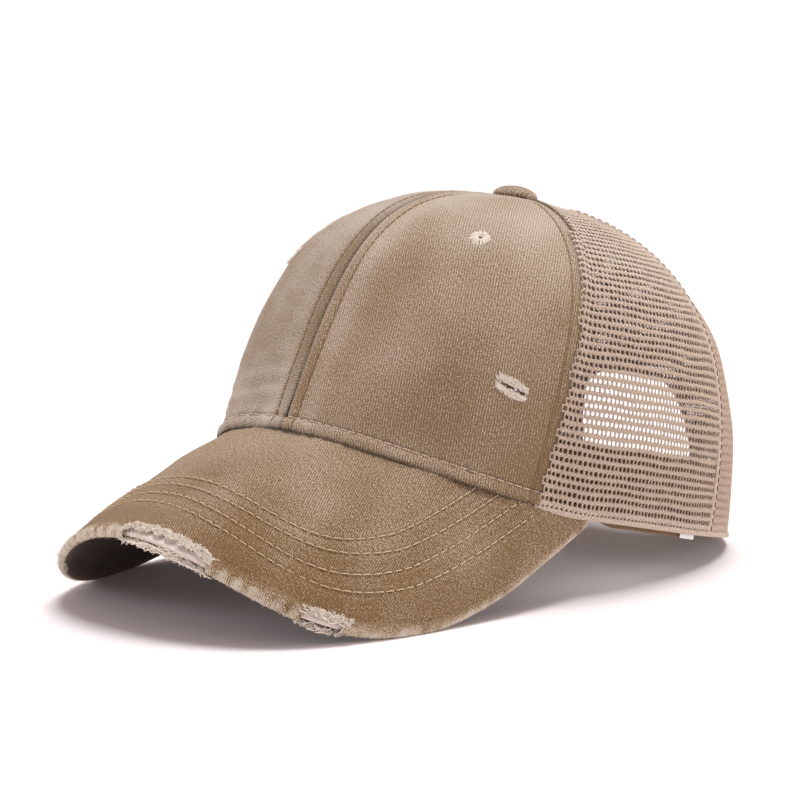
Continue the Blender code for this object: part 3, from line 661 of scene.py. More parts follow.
def net_panel(name, side, front_seam, rear_seam, seed):
    """A flat net of brick-laid rounded holes, laid on the panel and cut off at its seams."""
    grid = PanelGrid(side, front_seam, rear_seam, 60, 160)
    middle_v, width = grid.v[:, 0], grid.width[:, 0]
    rows = int(middle_v[-1] / NET_DOWN)
    columns = int(width.max() / NET_ACROSS) + 3
    cell_row, cell_column = np.meshgrid(np.arange(rows), np.arange(-columns // 2, columns // 2 + 1),
                                        indexing="ij")
    centre_u = ((cell_column + 0.5 * (cell_row % 2)) * NET_ACROSS)[..., None]
    centre_v = ((cell_row + 0.5) * NET_DOWN)[..., None]
    turns = np.arange(CORNERS) * math.tau / CORNERS
    hole_u = HOLE_HALF_WIDTH * np.sign(np.sin(turns)) * np.abs(np.sin(turns)) ** HOLE_ROUNDNESS
    hole_v = HOLE_HALF_HEIGHT * np.sign(np.cos(turns)) * np.abs(np.cos(turns)) ** HOLE_ROUNDNESS
    edge_u = np.array([0, 1, 1, 1, 0, -1, -1, -1]) * NET_ACROSS / 2
    edge_v = np.array([1, 1, 0, -1, -1, -1, 0, 1]) * NET_DOWN / 2
    rng = np.random.default_rng(seed)
    size = (1 - 0.40 * smooth(centre_v, 3.5, 1.0)) * OPENNESS[name] * rng.uniform(0.88, 1.10, centre_u.shape)
    uneven = (0, 0.05, (*size.shape[:2], CORNERS))
    u, v = (
        np.concatenate((centre + edge, centre + hole * size + rng.normal(*uneven)), axis=-1)
        for centre, edge, hole in ((centre_u, edge_u, hole_u), (centre_v, edge_v, hole_v))
    )
    u = u + 0.10 * ripple(u, v, 9, seed)
    v = v + 0.16 * ripple(u, v, 16, seed + 1)

    # Cells are kept by their middle and clipped at the seams
    half = np.interp(v, middle_v, width) / 2
    from_front = half + side * u
    middle = from_front[..., :CORNERS].mean(axis=-1)
    inside = (middle > 0.0) & (middle < 2 * half[..., 0])
    overlap = 0.0
    if front_seam is TWILL_TO_MESH_SEAM:
        overlap = FRONT_OVERLAP
        inside = (from_front[..., :CORNERS] > -overlap).all(axis=-1) & (middle < 2 * half[..., 0])
    from_front = np.clip(from_front, -overlap, 2 * half)
    rise = np.interp(v, middle_v, grid.rise[:, 0])
    front, rear = seam_angle(front_seam, rise, side), seam_angle(rear_seam, rise, side)
    angle = front + (rear - front) * (from_front / (2 * half))
    low, high = share_above_rim(angle, 0.0), share_at_radius(angle, TOP_RADIUS)
    share = low + (high - low) * rise
    base, normal = crown_surface(angle, share), crown_normal(angle, share)
    if rear_seam is BACK_SEAM:
        arch = (np.abs((base[..., 0] - ARCH_SHIFT) / OPENING_HALF_WIDTH) ** OPENING_EXPONENT
                + np.abs(base[..., 2] / OPENING_HEIGHT) ** OPENING_EXPONENT)
        inside &= ~((arch < 1).any(axis=-1))

    base, normal, u, v, from_front = (values[inside] for values in (base, normal, u, v, from_front))
    soft = 0.22 * ripple(u, v, 34, seed + 2)
    if overlap:
        soft = soft + smooth(from_front, 2.5, 0.0)
    layers = [base + normal * ((np.repeat(lifts, CORNERS) + soft) * MM)[..., None]
              for lifts in (OUTER_LIFTS, INNER_LIFTS)]
    points = np.concatenate(layers, axis=1)
    near = np.arange(CORNERS)
    far = (near + 1) % CORNERS
    # A cell's rings of points: outer edge, outer hole, inner edge, inner hole
    pattern = []
    for ring, other in ((0, 1), (3, 2), (1, 3)):
        a, b = ring * CORNERS, other * CORNERS
        pattern.append(np.stack((a + near, a + far, b + far, b + near), axis=-1))
    pattern = np.concatenate(pattern)
    faces = (pattern[None] + (np.arange(len(points)) * points.shape[1])[:, None, None]).reshape(-1, 4)
    if side > 0:
        faces = faces[:, ::-1]
    # Darker and browner low down, and painted shade over the back panels
    soil = 0.50 * smooth(v, 105.0, 55.0) * smooth(v, -6.0, 10.0) + 0.25 * (rear_seam is BACK_SEAM)
    values = {"cloth": np.stack((u, v, np.zeros_like(u)), axis=-1), "soil": soil}
    attributes = {key: np.concatenate((value, value), axis=1) for key, value in values.items()}
    add_piece(f"net_{name}", points, faces.tolist(), "net", (name,), attributes)


def net_binding(name, angles, shares, half_width, lift, thickness=0.7):
    """A strip of cloth along a line on the crown, slightly domed."""
    centre, normal = crown_surface(angles, shares), crown_normal(angles, shares)
    across = np.cross(normal, unit(np.gradient(centre, axis=0)))
    place = np.linspace(-1.0, 1.0, 9)
    dome = lift + thickness * (1 - place ** 4)
    points = (centre[:, None] + across[:, None] * (place * half_width * MM)[None, :, None]
              + normal[:, None] * (dome * MM)[None, :, None])
    add_piece(name, points, grid_faces(*points.shape[:2]), "net_plain")


def hem_strip(word, side):
    """The folded lower edge of the net, from the front panel to the rear."""
    angles = side * np.radians(np.linspace(TWILL_TO_MESH_SEAM.rim - 0.7, BACK_SEAM.rim, 160))[:, None]
    heights = np.linspace(-0.6, 1.2, 7)[None, :]
    bulge = 0.10 + 0.40 * np.sin(np.linspace(0.0, math.pi, 7))
    share = share_above_rim(angles, heights * MM)
    steps = np.broadcast_to(np.abs(np.degrees(angles)) * RIM_MM, share.shape)
    ripples = 0.10 * ripple(steps, heights * 2, 3.0, 51)
    points = crown_point(np.broadcast_to(angles, share.shape), share, (bulge + ripples) * MM)
    cloth = np.stack(np.broadcast_arrays(steps, heights, 0.0), axis=-1)
    add_piece(f"net_hem_{word}", points, grid_faces(*share.shape, flip=side > 0), "net", (),
              {"cloth": cloth, "soil": np.full(share.shape, 0.2)})


# Brim

def pattern_edge(share):
    """The outer edge of the brim's pattern, from -1 at its right end to 1 at its left end."""
    side = np.where(share >= 0, 1.0, -1.0)
    size = np.abs(share)
    end_across, end_y = pattern_rim(side * math.radians(BRIM_END))
    half_width = np.abs(end_across) + BRIM_FLARE
    widest = -(CROWN_FRONT - BRIM_SHOULDER)
    corner = np.where(share >= 0, *CORNER)
    across, along = superellipse(math.pi / 2 * np.minimum(size / EDGE_FRONT_SHARE, 1.0), half_width,
                                 BRIM_LENGTH, corner)
    turn = math.pi / 2 * np.clip((size - EDGE_FRONT_SHARE) / (1 - EDGE_FRONT_SHARE), 0.0, 1.0)
    backwards, outwards = superellipse(turn, 1.0, 1.0, BRIM_TAIL_EXPONENT)
    tip = np.abs(end_across) + BRIM_TIP
    tail_across = tip + (half_width - tip) * outwards
    tail_y = widest + (end_y - widest) * backwards
    front = size <= EDGE_FRONT_SHARE
    return side * np.where(front, across, tail_across), np.where(front, widest - along, tail_y)


StitchRow = namedtuple("StitchRow", "half_across half_along exponent")
BRIM_ROWS = [
    StitchRow(0.0714, 0.0732, 3.30),
    StitchRow(0.0783, 0.0776, 2.95),
    StitchRow(0.0849, 0.0826, 2.95),
    StitchRow(0.0919, 0.0873, 2.75),
]
ROW_CENTRE, ROW_TAIL, UNDER_CROWN = -0.060, 0.016, -0.004
TOP_ROWS, FOLD_ROWS, BOTTOM_ROWS, FOLD_ON_TOP = 130, 12, 26, 8
BOARD_INSET, BOARD_END, BOARD_ROWS = 0.0011, 0.97, (24, 12, 10)


def row_distance(row, across, y):
    """Distance from a stitch row on the pattern, in millimetres, outwards positive."""
    ahead = np.maximum(ROW_CENTRE - y, 0.0)
    size = (np.abs(across / row.half_across) ** row.exponent
            + np.abs(ahead / row.half_along) ** row.exponent) ** (1 / row.exponent)
    size = np.maximum(size, 1e-3)
    return (size - 1) / size * np.hypot(across, ahead) / MM


def row_line(row):
    """A stitch row on the pattern, from the crown on the right round to the crown on the left."""
    turns = np.linspace(-math.pi / 2, math.pi / 2, 500)
    across, along = superellipse(turns, row.half_across, row.half_along, row.exponent)
    tail = np.linspace(ROW_TAIL, 0.0005, 30)
    side = np.full(30, row.half_across)
    y = ROW_CENTRE + np.concatenate((tail, -along, tail[::-1]))
    return np.concatenate((-side, across, side)), y


# Tears along the brim's edge: from and to by millimetres of the pattern across, reach into the top in
# millimetres, and how much of the fold is gone
BrimTear = namedtuple("BrimTear", "start stop reach fold seed")
BRIM_TEARS = [
    BrimTear(2.0, 38.5, 2.2, 0.50, 3),
    BrimTear(75.5, 87.5, 1.0, 0.50, 5),
    BrimTear(-63.0, -56.0, 1.2, 0.4, 7),
]
TORN_BEYOND = 2.0           # millimetres that the worn fold adds to a tear's reach


def tear_reach(tear, across):
    """How far a tear reaches in from the edge at each place across, in millimetres."""
    middle, half = (tear.start + tear.stop) / 2, (tear.stop - tear.start) / 2
    inside = np.clip(1 - np.abs((across / MM - middle) / half) ** 2.5, 0.0, 1.0)
    ragged = 1 + 0.22 * ripple(across / MM, 0 * across, 5.0, tear.seed)
    return tear.reach * np.sqrt(inside) * ragged


def brim_edge(share):
    """Places on the pattern's outer edge, how far they are from the rim and the way out to them."""
    across, y = pattern_edge(share)
    inner_across, inner_y = pattern_rim(share * math.radians(BRIM_END))
    way = np.stack((across - inner_across, y - inner_y), axis=-1)
    return across, y, np.linalg.norm(way, axis=-1), unit(way)


def inside_edge(edge, inset, depth):
    """Points on the brim at an inset from its outer edge, at a depth below its top."""
    across, y, _, out = edge
    return brim_point(across - out[:, 0] * inset, y - out[:, 1] * inset, depth)


def brim_rows(top_rows, fold_rows, bottom_rows):
    """Shares of the way out, and the fold's turn, for the rows of points round the brim's section."""
    top = [("top", share) for share in np.linspace(0.0, 1.0, top_rows)]
    fold = [("fold", turn) for turn in np.linspace(0.0, math.pi, fold_rows)[1:-1]]
    bottom = [("bottom", share) for share in np.linspace(1.0, 0.0, bottom_rows)]
    return top + fold + bottom


def brim_skin(inset, shares, row_counts, embossed):
    """The brim's skin as grids: along its edge, and round its section from the crown's top side."""
    outer_across, outer_y, reach, way = brim_edge(shares)
    thick = BRIM_THICKNESS / 2
    grids = []
    for kind, value in brim_rows(*row_counts):
        if kind == "fold":
            turn = value
            out = reach - thick + (thick - inset) * math.sin(turn)
            depth = thick - (thick - inset) * math.cos(turn)
        else:
            on_top = kind == "top"
            turn = 0.0 if on_top else math.pi
            start = UNDER_CROWN if on_top else 0.0
            out = start + (reach - thick - start) * value
            depth = inset if on_top else BRIM_THICKNESS - inset
        across = outer_across - way[:, 0] * (reach - out)
        y = outer_y - way[:, 1] * (reach - out)
        edge_away = (reach - out) / MM
        lift = np.zeros(len(shares))
        if embossed and kind == "top":
            for row in BRIM_ROWS:
                lift += -0.17 * bell(row_distance(row, across, y), 0.75)
            lift += 0.20 * ripple(across / MM, y / MM, 30, 71) + 0.05 * ripple(across / MM, y / MM, 5, 72)
            lift += -0.22 * bell(edge_away - 4.4, 0.6) + 0.14 * bell(edge_away - 2.6, 1.0)
        point = brim_point(across, y, depth - lift * MM)
        grids.append(np.column_stack((point, across, y, edge_away, np.full(len(shares), turn))))
    grids = np.array(grids)
    return grids[..., :3], *np.moveaxis(grids[..., 3:], -1, 0)


def worn_brim(shares, across, y, from_edge, turns):
    """Which of the brim's points the tears take, and its cloth, its fading, and the shade painted on its left
    side and in its stitch rows.
    """
    u, v = across / MM, y / MM
    worn_edge = 0.85 + 0.35 * ripple(u, v, 7, 73)
    # Paler at the worn edge and towards the crown, and darker towards the wearer's left, painted shade
    fade = (1.20 + 0.5 * (across < 0)) * bell(from_edge, 2.4) * worn_edge
    fade += 0.06 * ripple(u, v, 34, 74) + 0.46 * smooth(v, -145, -100) - 0.18 - 0.40 * smooth(u, 20, 85)
    # Lighter along the rubbed fold, and painted shade in the grooves of the stitch rows
    soil = -0.12 * bell(from_edge, 1.7)
    for row in BRIM_ROWS:
        away = row_distance(row, across, y)
        soil += 0.16 * bell(away - 0.15, 0.5)
        fade += 0.16 * bell(np.abs(away) - 1.6, 0.9)
    gone = np.zeros(across.shape, bool)
    for tear in BRIM_TEARS:
        reach = tear_reach(tear, pattern_edge(shares)[0])
        on_top = (turns == 0) & (from_edge < reach + TORN_BEYOND)
        on_fold = (turns > 0) & (turns < math.pi * tear.fold)
        gone |= (on_top | on_fold) & (reach > 0.3)
        fade += smooth(reach + 4.5 - from_edge, 0.0, 2.5) * (reach > 0.2)
    under = turns > math.pi * 0.8
    cloth = np.stack((u, v, np.zeros_like(v)), axis=-1)
    fade = np.where(under, 0.9 * bell(from_edge, 2.6), fade)
    return gone, {"cloth": cloth, "fade": fade, "soil": np.where(under, 0.0, soil)}


def build_brim():
    spread = np.linspace(-1, 1, 381)
    shares = 0.45 * np.sin(spread * math.pi / 2) + 0.55 * spread
    points, *places = brim_skin(0.0, shares, (TOP_ROWS, FOLD_ROWS, BOTTOM_ROWS), True)
    gone, attributes = worn_brim(shares, *places)
    turned = TOP_ROWS + FOLD_ON_TOP
    for name, rows, material, replaced in (
            ("brim_top", slice(0, turned), "brim", ("brim_cover",)),
            ("brim_under", slice(turned - 1, None), "under", ())):
        faces = grid_faces(*gone[rows].shape, whole_quads(gone[rows]), flip=True)
        add_piece(name, points[rows], faces, material, replaced,
                  {key: value[rows] for key, value in attributes.items()})
    board = brim_skin(BOARD_INSET, np.linspace(-BOARD_END, BOARD_END, 260), BOARD_ROWS, False)[0]
    add_piece("board", board, grid_faces(*board.shape[:2], flip=True), "felt", ("brim_board",))


def build_brim_stitches():
    paths = []
    for row in BRIM_ROWS:
        across, y = row_line(row)
        path = brim_point(across, y, 0.00012)
        normals = unit(brim_point(across, y, 0.0) - brim_point(across, y, MM))
        paths.append(stitches_along(path, normals, BRIM_ROW))
    radii = np.full(STITCH_STATIONS, BRIM_ROW.radius)
    radii[[0, -1]] *= 0.7
    add_tubes("brim_stitches", np.concatenate(paths), radii[None, :], 6, "gold")


# Frayed threads

# Loose ends: how many, in a tear of the brim for each millimetre, their lengths and radius, and how finely
# each is made
Ends = namedtuple("Ends", "count shortest longest radius sides stations")
PANEL_ENDS, BRIM_ENDS = Ends(520, 0.0007, 0.0016, 0.00014, 4, 7), Ends(56, 0.0008, 0.0020, 0.00018, 3, 7)
FUZZ_ENDS = Ends(1500, 0.0003, 0.0010, 0.00007, 3, 4)
WEFT_RADIUS, LONG_RADIUS, LONG_SIDES = 0.00018, 0.00017, 5
WEFT_COUNT, LONG_SPACING, FEWEST_LONG = 6, 1.1, 9

def strands(roots, directions, lengths, bending, seed, stations):
    """Loose threads that start at the roots, run in the directions and bend at random."""
    rng = np.random.default_rng(seed)
    shares = np.linspace(0.0, 1.0, stations)
    bend = unit(rng.normal(0, 1, roots.shape))
    paths = roots[:, None] + directions[:, None] * (shares[None, :, None] * lengths[:, None, None])
    return paths + bend[:, None] * (bending * lengths)[:, None, None] * (shares ** 2)[None, :, None]


def curls(roots, directions, lengths, seed, stations):
    """Loose threads that roll up into part of a ring, each in a plane of its own."""
    rng = np.random.default_rng(seed)
    turned = unit(np.cross(directions, rng.normal(0, 1, roots.shape)))
    turn = rng.uniform(1.5, 4.6, len(roots))[:, None] * np.linspace(0.0, 1.0, stations)
    radius = (lengths[:, None] / turn[:, -1:])[..., None]
    return (roots[:, None] + directions[:, None] * np.sin(turn)[..., None] * radius
            + turned[:, None] * (1 - np.cos(turn))[..., None] * radius)


def add_ends(name, paths, ends):
    """Loose threads that thin out towards their free ends."""
    radii = ends.radius * (1 - 0.75 * np.linspace(0.0, 1.0, ends.stations) ** 2)
    add_tubes(name, paths, radii[None, :], ends.sides, "fray")


def fray_panel_tear(side, word):
    """Short ends of thread on both lips of a panel's tear, and a few long ones across it."""
    tear = PANEL_TEARS[side]
    rng = np.random.default_rng(101 + side)
    place = math.radians(tear.angle), tear.share
    axes = crown_axes(*place)
    _, around, upwards, normal = axes
    count = PANEL_ENDS.count
    a = rng.uniform(-tear.patch_width, tear.patch_width, count)
    lip = np.where(rng.random(count) < 0.5, 1.0, -1.0)
    open_half = tear.half_height * np.sqrt(np.maximum(1 - (a / tear.patch_width) ** 2, 0.0))
    tall = np.sqrt(np.maximum(1 - (a / tear.patch_width) ** 2, 0.15))
    b = tear.tilt * a + lip * (open_half + 0.15 + rng.uniform(0.0, 1.9, count) * tall)
    roots = beside(axes, a, b, curve_depth(a, b, *place) + rng.uniform(0.1, 0.6, count))
    way = upwards * (lip * rng.choice([-0.4, 1.0], count, p=[0.08, 0.92]))[:, None]
    way = way + around * rng.normal(-0.5, 0.25, count)[:, None]
    way = way + normal * rng.uniform(-0.1, 0.25, count)[:, None]
    lengths = rng.uniform(PANEL_ENDS.shortest, PANEL_ENDS.longest, count)
    bending = rng.uniform(0.1, 0.5, count)
    paths = strands(roots, unit(way), lengths, bending, 7 + side, PANEL_ENDS.stations)
    shares = np.linspace(-1.0, 1.0, 13)
    weft = []
    for index in range(WEFT_COUNT):
        offset = 0.65 if index < 1 else rng.choice([-1.0, 1.0]) * rng.uniform(1.1, 2.6)
        run = shares * tear.patch_width * rng.uniform(0.75, 1.0)
        rise = tear.tilt * run + offset + 0.35 * ripple(run, 0 * run, 5.0, 200 + index)
        weft.append(beside(axes, run, rise, curve_depth(run, rise, *place) + 0.45))
    add_ends(f"fray_{word}", paths, PANEL_ENDS)
    add_tubes(f"fray_weft_{word}", np.array(weft), WEFT_RADIUS, LONG_SIDES, "fray")


def fray_brim_tear(tear, index):
    """Curled ends of thread along both lips of a tear in the brim, and long ones that hang loose in it."""
    rng = np.random.default_rng(300 + tear.seed)
    length = tear.stop - tear.start
    count = int(BRIM_ENDS.count * length)
    share_table = np.linspace(-0.8, 0.8, 1601)
    table_across = pattern_edge(share_table)[0]
    at = rng.uniform(tear.start - 1.5, tear.stop + 1.5, count) * MM
    edge = brim_edge(np.interp(at, table_across, share_table))
    reach = np.maximum(tear_reach(tear, edge[0]), 0.4) + TORN_BEYOND
    upper = rng.random(count) < 0.62
    inset = np.where(upper, reach + rng.uniform(-1.0, 1.3, count), rng.uniform(-0.2, 1.0, count)) * MM
    depth = np.where(upper, -0.0002, BRIM_THICKNESS * rng.uniform(0.62, 0.95, count))
    roots = inside_edge(edge, inset, depth)
    outwards = unit(inside_edge(edge, inset - MM, depth) - roots)
    normal = unit(inside_edge(edge, 0.0, 0.0) - inside_edge(edge, 0.0, MM))
    way = outwards * rng.normal(0.25, 0.35, count)[:, None]
    way = way + np.cross(outwards, normal) * rng.normal(0, 1.0, count)[:, None]
    lean = np.where(upper, rng.uniform(-0.1, 0.25, count), rng.uniform(-0.6, 0.0, count))
    lengths = rng.uniform(BRIM_ENDS.shortest, BRIM_ENDS.longest, count)
    paths = curls(roots, unit(way + normal * lean[:, None]), lengths, 400 + index, BRIM_ENDS.stations)
    add_ends(f"fray_brim_{index}", paths, BRIM_ENDS)
    shares = np.linspace(0.0, 1.0, 15)
    runs = []
    for k in range(max(FEWEST_LONG, int(length / LONG_SPACING))):
        begin = rng.uniform(tear.start, tear.stop - length * 0.3)
        line = (begin + rng.uniform(0.2, 0.5) * length * shares) * MM
        on_lip = k % 2 == 1
        lip_inset = tear.reach + rng.uniform(0.8, 2.6) if on_lip else rng.uniform(-0.6, 0.5)
        inset = (lip_inset + 0.45 * ripple(line / MM, 0 * line, 5.0, 500 + k)) * MM
        depth = 0.0 if on_lip else rng.uniform(0.5, 0.95) * BRIM_THICKNESS
        runs.append(inside_edge(brim_edge(np.interp(line, table_across, share_table)), inset, depth - 0.0003))
    add_tubes(f"fray_long_{index}", np.array(runs), LONG_RADIUS, LONG_SIDES, "fray")


def edge_fuzz():
    """Short hairs all along the worn edge of the brim."""
    rng = np.random.default_rng(8)
    count = FUZZ_ENDS.count
    edge = brim_edge(rng.uniform(-0.95, 0.95, count))
    turn = rng.uniform(0.1, 0.7, count) * math.pi
    thick = BRIM_THICKNESS / 2
    roots = inside_edge(edge, thick * (1 - np.sin(turn)), thick - thick * np.cos(turn))
    way = unit(unit(roots - inside_edge(edge, thick, thick)) + rng.normal(0, 0.7, (count, 3)))
    lengths = rng.uniform(FUZZ_ENDS.shortest, FUZZ_ENDS.longest, count)
    paths = strands(roots, way, lengths, rng.uniform(0.2, 0.8, count), 9, FUZZ_ENDS.stations)
    add_ends("edge_fuzz", paths, FUZZ_ENDS)


# Small pieces

def build_eyelet(side, word):
    """Radial threads over a small dome, with a hole in the middle."""
    rng = np.random.default_rng(61)
    place = side * math.radians(EYELET_ANGLE), EYELET_SHARE
    count = 36
    turns = np.arange(count) * math.tau / count + rng.normal(0, 0.03, count)
    ends = EYELET_RADIUS / MM * rng.uniform(0.82, 1.04, count)
    shares = np.linspace(0.0, 1.0, 8)
    start = 0.75 * EYELET_HOLE
    radius = start + (ends[:, None] - start) * shares[None, :]
    a, b = radius * np.cos(turns)[:, None], radius * np.sin(turns)[:, None]
    height = curve_depth(a, b, *place) + 0.38 - 0.60 * shares[None, :] ** 3
    height[:, 0] -= 0.7
    add_tubes(f"eyelet_threads_{word}", beside(crown_axes(*place), a, b, height),
              0.00018 * (0.75 + 0.7 * shares)[None, :], 6, "fray", (f"eyelet_{word}",))


def build_button():
    """The covered button, with the twill drawn over its edge."""
    turns = np.linspace(0.0, math.tau, 96)[None, :]
    arc = np.linspace(0.0, 1.0, 40)[:, None]
    lean = np.minimum(arc * math.radians(118), math.pi / 2)
    tuck = (arc - BUTTON_TUCK_FROM) / (1 - BUTTON_TUCK_FROM)
    on_dome = arc < BUTTON_TUCK_FROM
    radius = BUTTON_RADIUS * np.where(on_dome, np.sin(lean), 1 - 0.35 * tuck ** 2)
    under = BUTTON_EDGE * (1 - tuck) - BUTTON_TUCK * tuck
    height = np.where(on_dome, BUTTON_EDGE + BUTTON_DOME * np.cos(lean), under)
    radius = radius * (1 + 0.012 * np.cos(turns * 11 + 2) * smooth(arc, 0.6, 1.0))
    x, y = radius * np.cos(turns), radius * np.sin(turns)
    z = np.broadcast_to(CROWN_HEIGHT - BUTTON_SEAT + height, x.shape)
    # Paler round the dome's shoulder, and painted shade towards and under the button's edge
    attributes = {
        "cloth": np.stack((x / MM + 40, y / MM, 0 * x), axis=-1),
        "fade": np.broadcast_to(-0.05 + 0.2 * bell(arc - 0.55, 0.15), x.shape),
        "soil": np.broadcast_to(0.55 * smooth(arc, 0.60, 1.0), x.shape),
    }
    add_piece("button_cloth", np.stack((x, y, z), axis=-1), grid_faces(*x.shape), "left",
              ("top_button",), attributes)


def build_band():
    """The sweatband, rolled at its lower edge, and the tab that hangs below the net."""
    angles = np.radians(np.linspace(-BAND_END, BAND_END, 420))[:, None]
    turn = np.degrees(np.abs(angles))
    eased = smooth(np.clip((turn - BRIM_END) / BAND_EASE, 0.0, 1.0), 0.0, 1.0) * smooth(turn, *BAND_RISES)
    up = np.linspace(0.0, 1.0, 14)[None, :]
    bottom = BAND_LIFT + (-BAND_DROP / MM - BAND_LIFT) * eased
    height = bottom + (BAND_TOP / MM - bottom) * up
    share = share_above_rim(angles, height * MM)
    angle = np.broadcast_to(angles, share.shape)
    along = np.degrees(angle) * RIM_MM
    bulge = -BAND_DEPTH / MM + 0.35 * bell(up, 0.10) + 0.15 * ripple(along, height, 22, 91)
    outer = crown_point(angle, share, bulge * MM)
    inner = crown_point(angle, share, (bulge - BAND_WALL) * MM)
    points = np.concatenate((outer, inner[:, ::-1]), axis=1)
    cloth = np.stack((along, height, 0 * height), axis=-1)
    attributes = {
        "cloth": np.concatenate((cloth, cloth[:, ::-1]), axis=1),
        "fade": np.full(points.shape[:2], 0.05),
        "soil": np.zeros(points.shape[:2]),
    }
    add_piece("sweatband_cloth", points, grid_faces(*points.shape[:2]), "band", ("sweatband",),
              attributes)
    angles = np.radians(np.linspace(*TAB_ANGLES, 12))[:, None]
    share = share_above_rim(angles, np.linspace(*TAB_HEIGHTS, 6)[None, :] * MM)
    tab = crown_point(np.broadcast_to(angles, share.shape), share, np.full(share.shape, -TAB_DEPTH))
    add_piece("tab_tape", tab, grid_faces(*share.shape, flip=True), "label", ("care_label",))


def sew_panels(panels):
    """Stitches along the seams and the hem of the front panels."""
    seams, hems = [], []
    for grid, surface in panels:
        for distance, column, rows, stitch in (
                (SEAM_STITCH, 0, slice(2, -14), SEAM_ROW),
                (grid.width[:, 0] - EDGE_STITCH, -1, slice(3, -10), EDGE_ROW)):
            path, normals = upright_path(grid, surface, distance, column)
            seams.append(stitches_along(path[rows], normals[rows], stitch))
        hems.append(stitches_along(*row_path(grid, surface, HEM_STITCH), HEM_ROW))
    add_tubes("seam_stitches", np.concatenate(seams), SEAM_ROW.radius, 5, "twill_thread")
    add_tubes("hem_stitches", np.concatenate(hems), HEM_ROW.radius, 5, "thread")


def bind_net():
    """The bindings over the seams of the net and round the arch of the rear opening."""
    for side, word in SIDES:
        rise = np.linspace(0.0, SEAM_TOP, 200)
        angles = seam_angle(MESH_SEAM, rise, side)
        shares = share_at_radius(angles, TOP_RADIUS) * rise
        net_binding(f"net_seam_{word}", angles, shares, 1.3, -0.15, 0.65)
        line = crown_point(angles, shares, np.full(200, 0.00048))
        dashes = stitches_along(line, crown_normal(angles, shares), NET_ROW)
        add_tubes(f"net_seam_dashes_{word}", dashes, NET_ROW.radius, 5, "dark")
    rise = np.linspace(0.525, SEAM_TOP, 160)
    shares = rise * share_at_radius(math.pi, TOP_RADIUS)
    net_binding("net_back_seam", np.full(160, math.pi), shares, 1.6, -0.1)
    turns = np.linspace(-math.pi / 2, math.pi / 2, 160)
    x, z = superellipse(turns, OPENING_HALF_WIDTH + ARCH_MARGIN, OPENING_HEIGHT + ARCH_MARGIN,
                        OPENING_EXPONENT)
    table = np.linspace(math.radians(100), math.pi, 800)
    angles = []
    for across, share in zip(x + ARCH_SHIFT, z / CROWN_HEIGHT):
        places = crown_surface(table, share)[:, 0]
        angle = np.interp(abs(across), places[::-1], table[::-1])
        angles.append(angle if across >= 0 else math.tau - angle)
    net_binding("arch_binding", np.array(angles), np.maximum(z / CROWN_HEIGHT, 0.0), 1.5, -0.3)


# The cap

panels = []
for side, word in SIDES:
    panels.append(front_panel(side, word))
    build_eyelet(side, word)
    fray_panel_tear(side, word)
    net_panel(f"side_mesh_{word}", side, TWILL_TO_MESH_SEAM, MESH_SEAM, 40 + side)
    net_panel(f"back_mesh_{word}", side, MESH_SEAM, BACK_SEAM, 50 + side)
    hem_strip(word, side)
sew_panels(panels)
bind_net()
build_button()
build_brim()
build_brim_stitches()
for index, tear in enumerate(BRIM_TEARS):
    fray_brim_tear(tear, index)
edge_fuzz()
build_band()
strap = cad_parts["back_strap"].data
strap.materials.clear()
strap.materials.append(MATERIALS["strap"])


# Floor, light and camera

SUN_TILT, SUN_STRENGTH, SUN_SPREAD = (-12.0, -2.0), 2.5, 30.0
Lamp = namedtuple("Lamp", "name location target size power")
LAMPS = [
    Lamp("left", (-1.3, -1.3, 0.55), (0.0, 0.0, 0.06), 0.8, 7.0),
    Lamp("right", (1.20, 1.00, 0.40), (0.05, 0.04, 0.03), 0.8, 7.0),
]
# The sky from the horizon to overhead: between which heights, its strength, and its share of green and blue
SKY_HEIGHTS, SKY_STRENGTHS, SKY_TINTS = (0.06, 0.35), (1.05, 0.42), (1.0, 0.78)
FLOOR_HALF, SENSOR_MM, LENS_MM, CLIP_FROM, CLIP_TO = 12.0, 36.0, 132.6, 0.05, 60.0
CAMERA_PLACE = Matrix((
    (0.702475, -0.092377, 0.705687, 0.728054),
    (0.711567, 0.110923, -0.693808, -0.718880),
    (-0.014185, 0.989526, 0.143653, 0.208879),
    (0.0, 0.0, 0.0, 1.0),
))


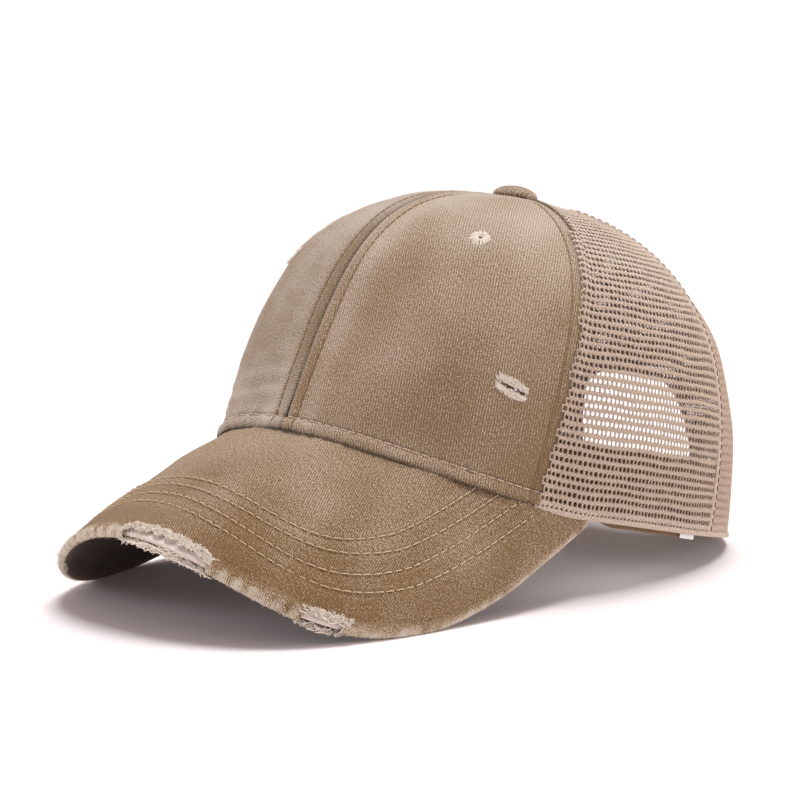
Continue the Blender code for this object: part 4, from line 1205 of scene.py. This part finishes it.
def add_floor():
    mesh = bpy.data.meshes.new("floor")
    corners = [(x * FLOOR_HALF, y * FLOOR_HALF, 0.0) for x, y in ((-1, -1), (1, -1), (1, 1), (-1, 1))]
    mesh.from_pydata(corners, [], [(0, 1, 2, 3)])
    mesh.materials.append(Nodes("floor").finish(rgba(FLOOR), 0.9, 0.1))
    add_object("floor", mesh)


def add_lamp(lamp):
    data = bpy.data.lights.new(lamp.name, "AREA")
    data.shape = "DISK"
    data.size = lamp.size
    data.energy = lamp.power
    item = add_object(lamp.name, data)
    item.location = lamp.location
    item.rotation_mode = "QUATERNION"
    item.rotation_quaternion = (Vector(lamp.target) - Vector(lamp.location)).to_track_quat("-Z", "Y")


def add_sun():
    data = bpy.data.lights.new("overhead", "SUN")
    data.energy = SUN_STRENGTH
    data.angle = math.radians(SUN_SPREAD)
    add_object("overhead", data).rotation_euler = (*np.radians(SUN_TILT), 0.0)


def add_world():
    """A white horizon that darkens and reddens overhead, so that the light has a direction."""
    world = bpy.data.worlds.new("studio")
    world.use_nodes = True
    tree = world.node_tree
    background = tree.nodes["Background"].inputs
    kinds = ("ShaderNodeTexCoord", "ShaderNodeSeparateXYZ", "ShaderNodeCombineColor")
    place, parts, colour = (tree.nodes.new(kind) for kind in kinds)
    colour.inputs["Red"].default_value = 1.0
    tree.links.new(place.outputs["Generated"], parts.inputs["Vector"])
    for levels, sockets in (
            (SKY_STRENGTHS, (background["Strength"],)),
            (SKY_TINTS, (colour.inputs["Green"], colour.inputs["Blue"]))):
        ramp = tree.nodes.new("ShaderNodeMapRange")
        for key, value in zip(("From Min", "From Max", "To Min", "To Max"), (*SKY_HEIGHTS, *levels)):
            ramp.inputs[key].default_value = value
        tree.links.new(parts.outputs["Z"], ramp.inputs["Value"])
        for socket in sockets:
            tree.links.new(ramp.outputs["Result"], socket)
    tree.links.new(colour.outputs["Color"], background["Color"])
    bpy.context.scene.world = world


def add_camera():
    data = bpy.data.cameras.new("camera")
    data.sensor_width = SENSOR_MM
    data.lens = LENS_MM
    data.clip_start, data.clip_end = CLIP_FROM, CLIP_TO
    camera = add_object("camera", data)
    camera.matrix_world = CAMERA_PLACE
    bpy.context.scene.camera = camera


add_floor()
add_world()
add_sun()
for lamp in LAMPS:
    add_lamp(lamp)
add_camera()
bpy.context.scene.view_settings.view_transform = "Standard"
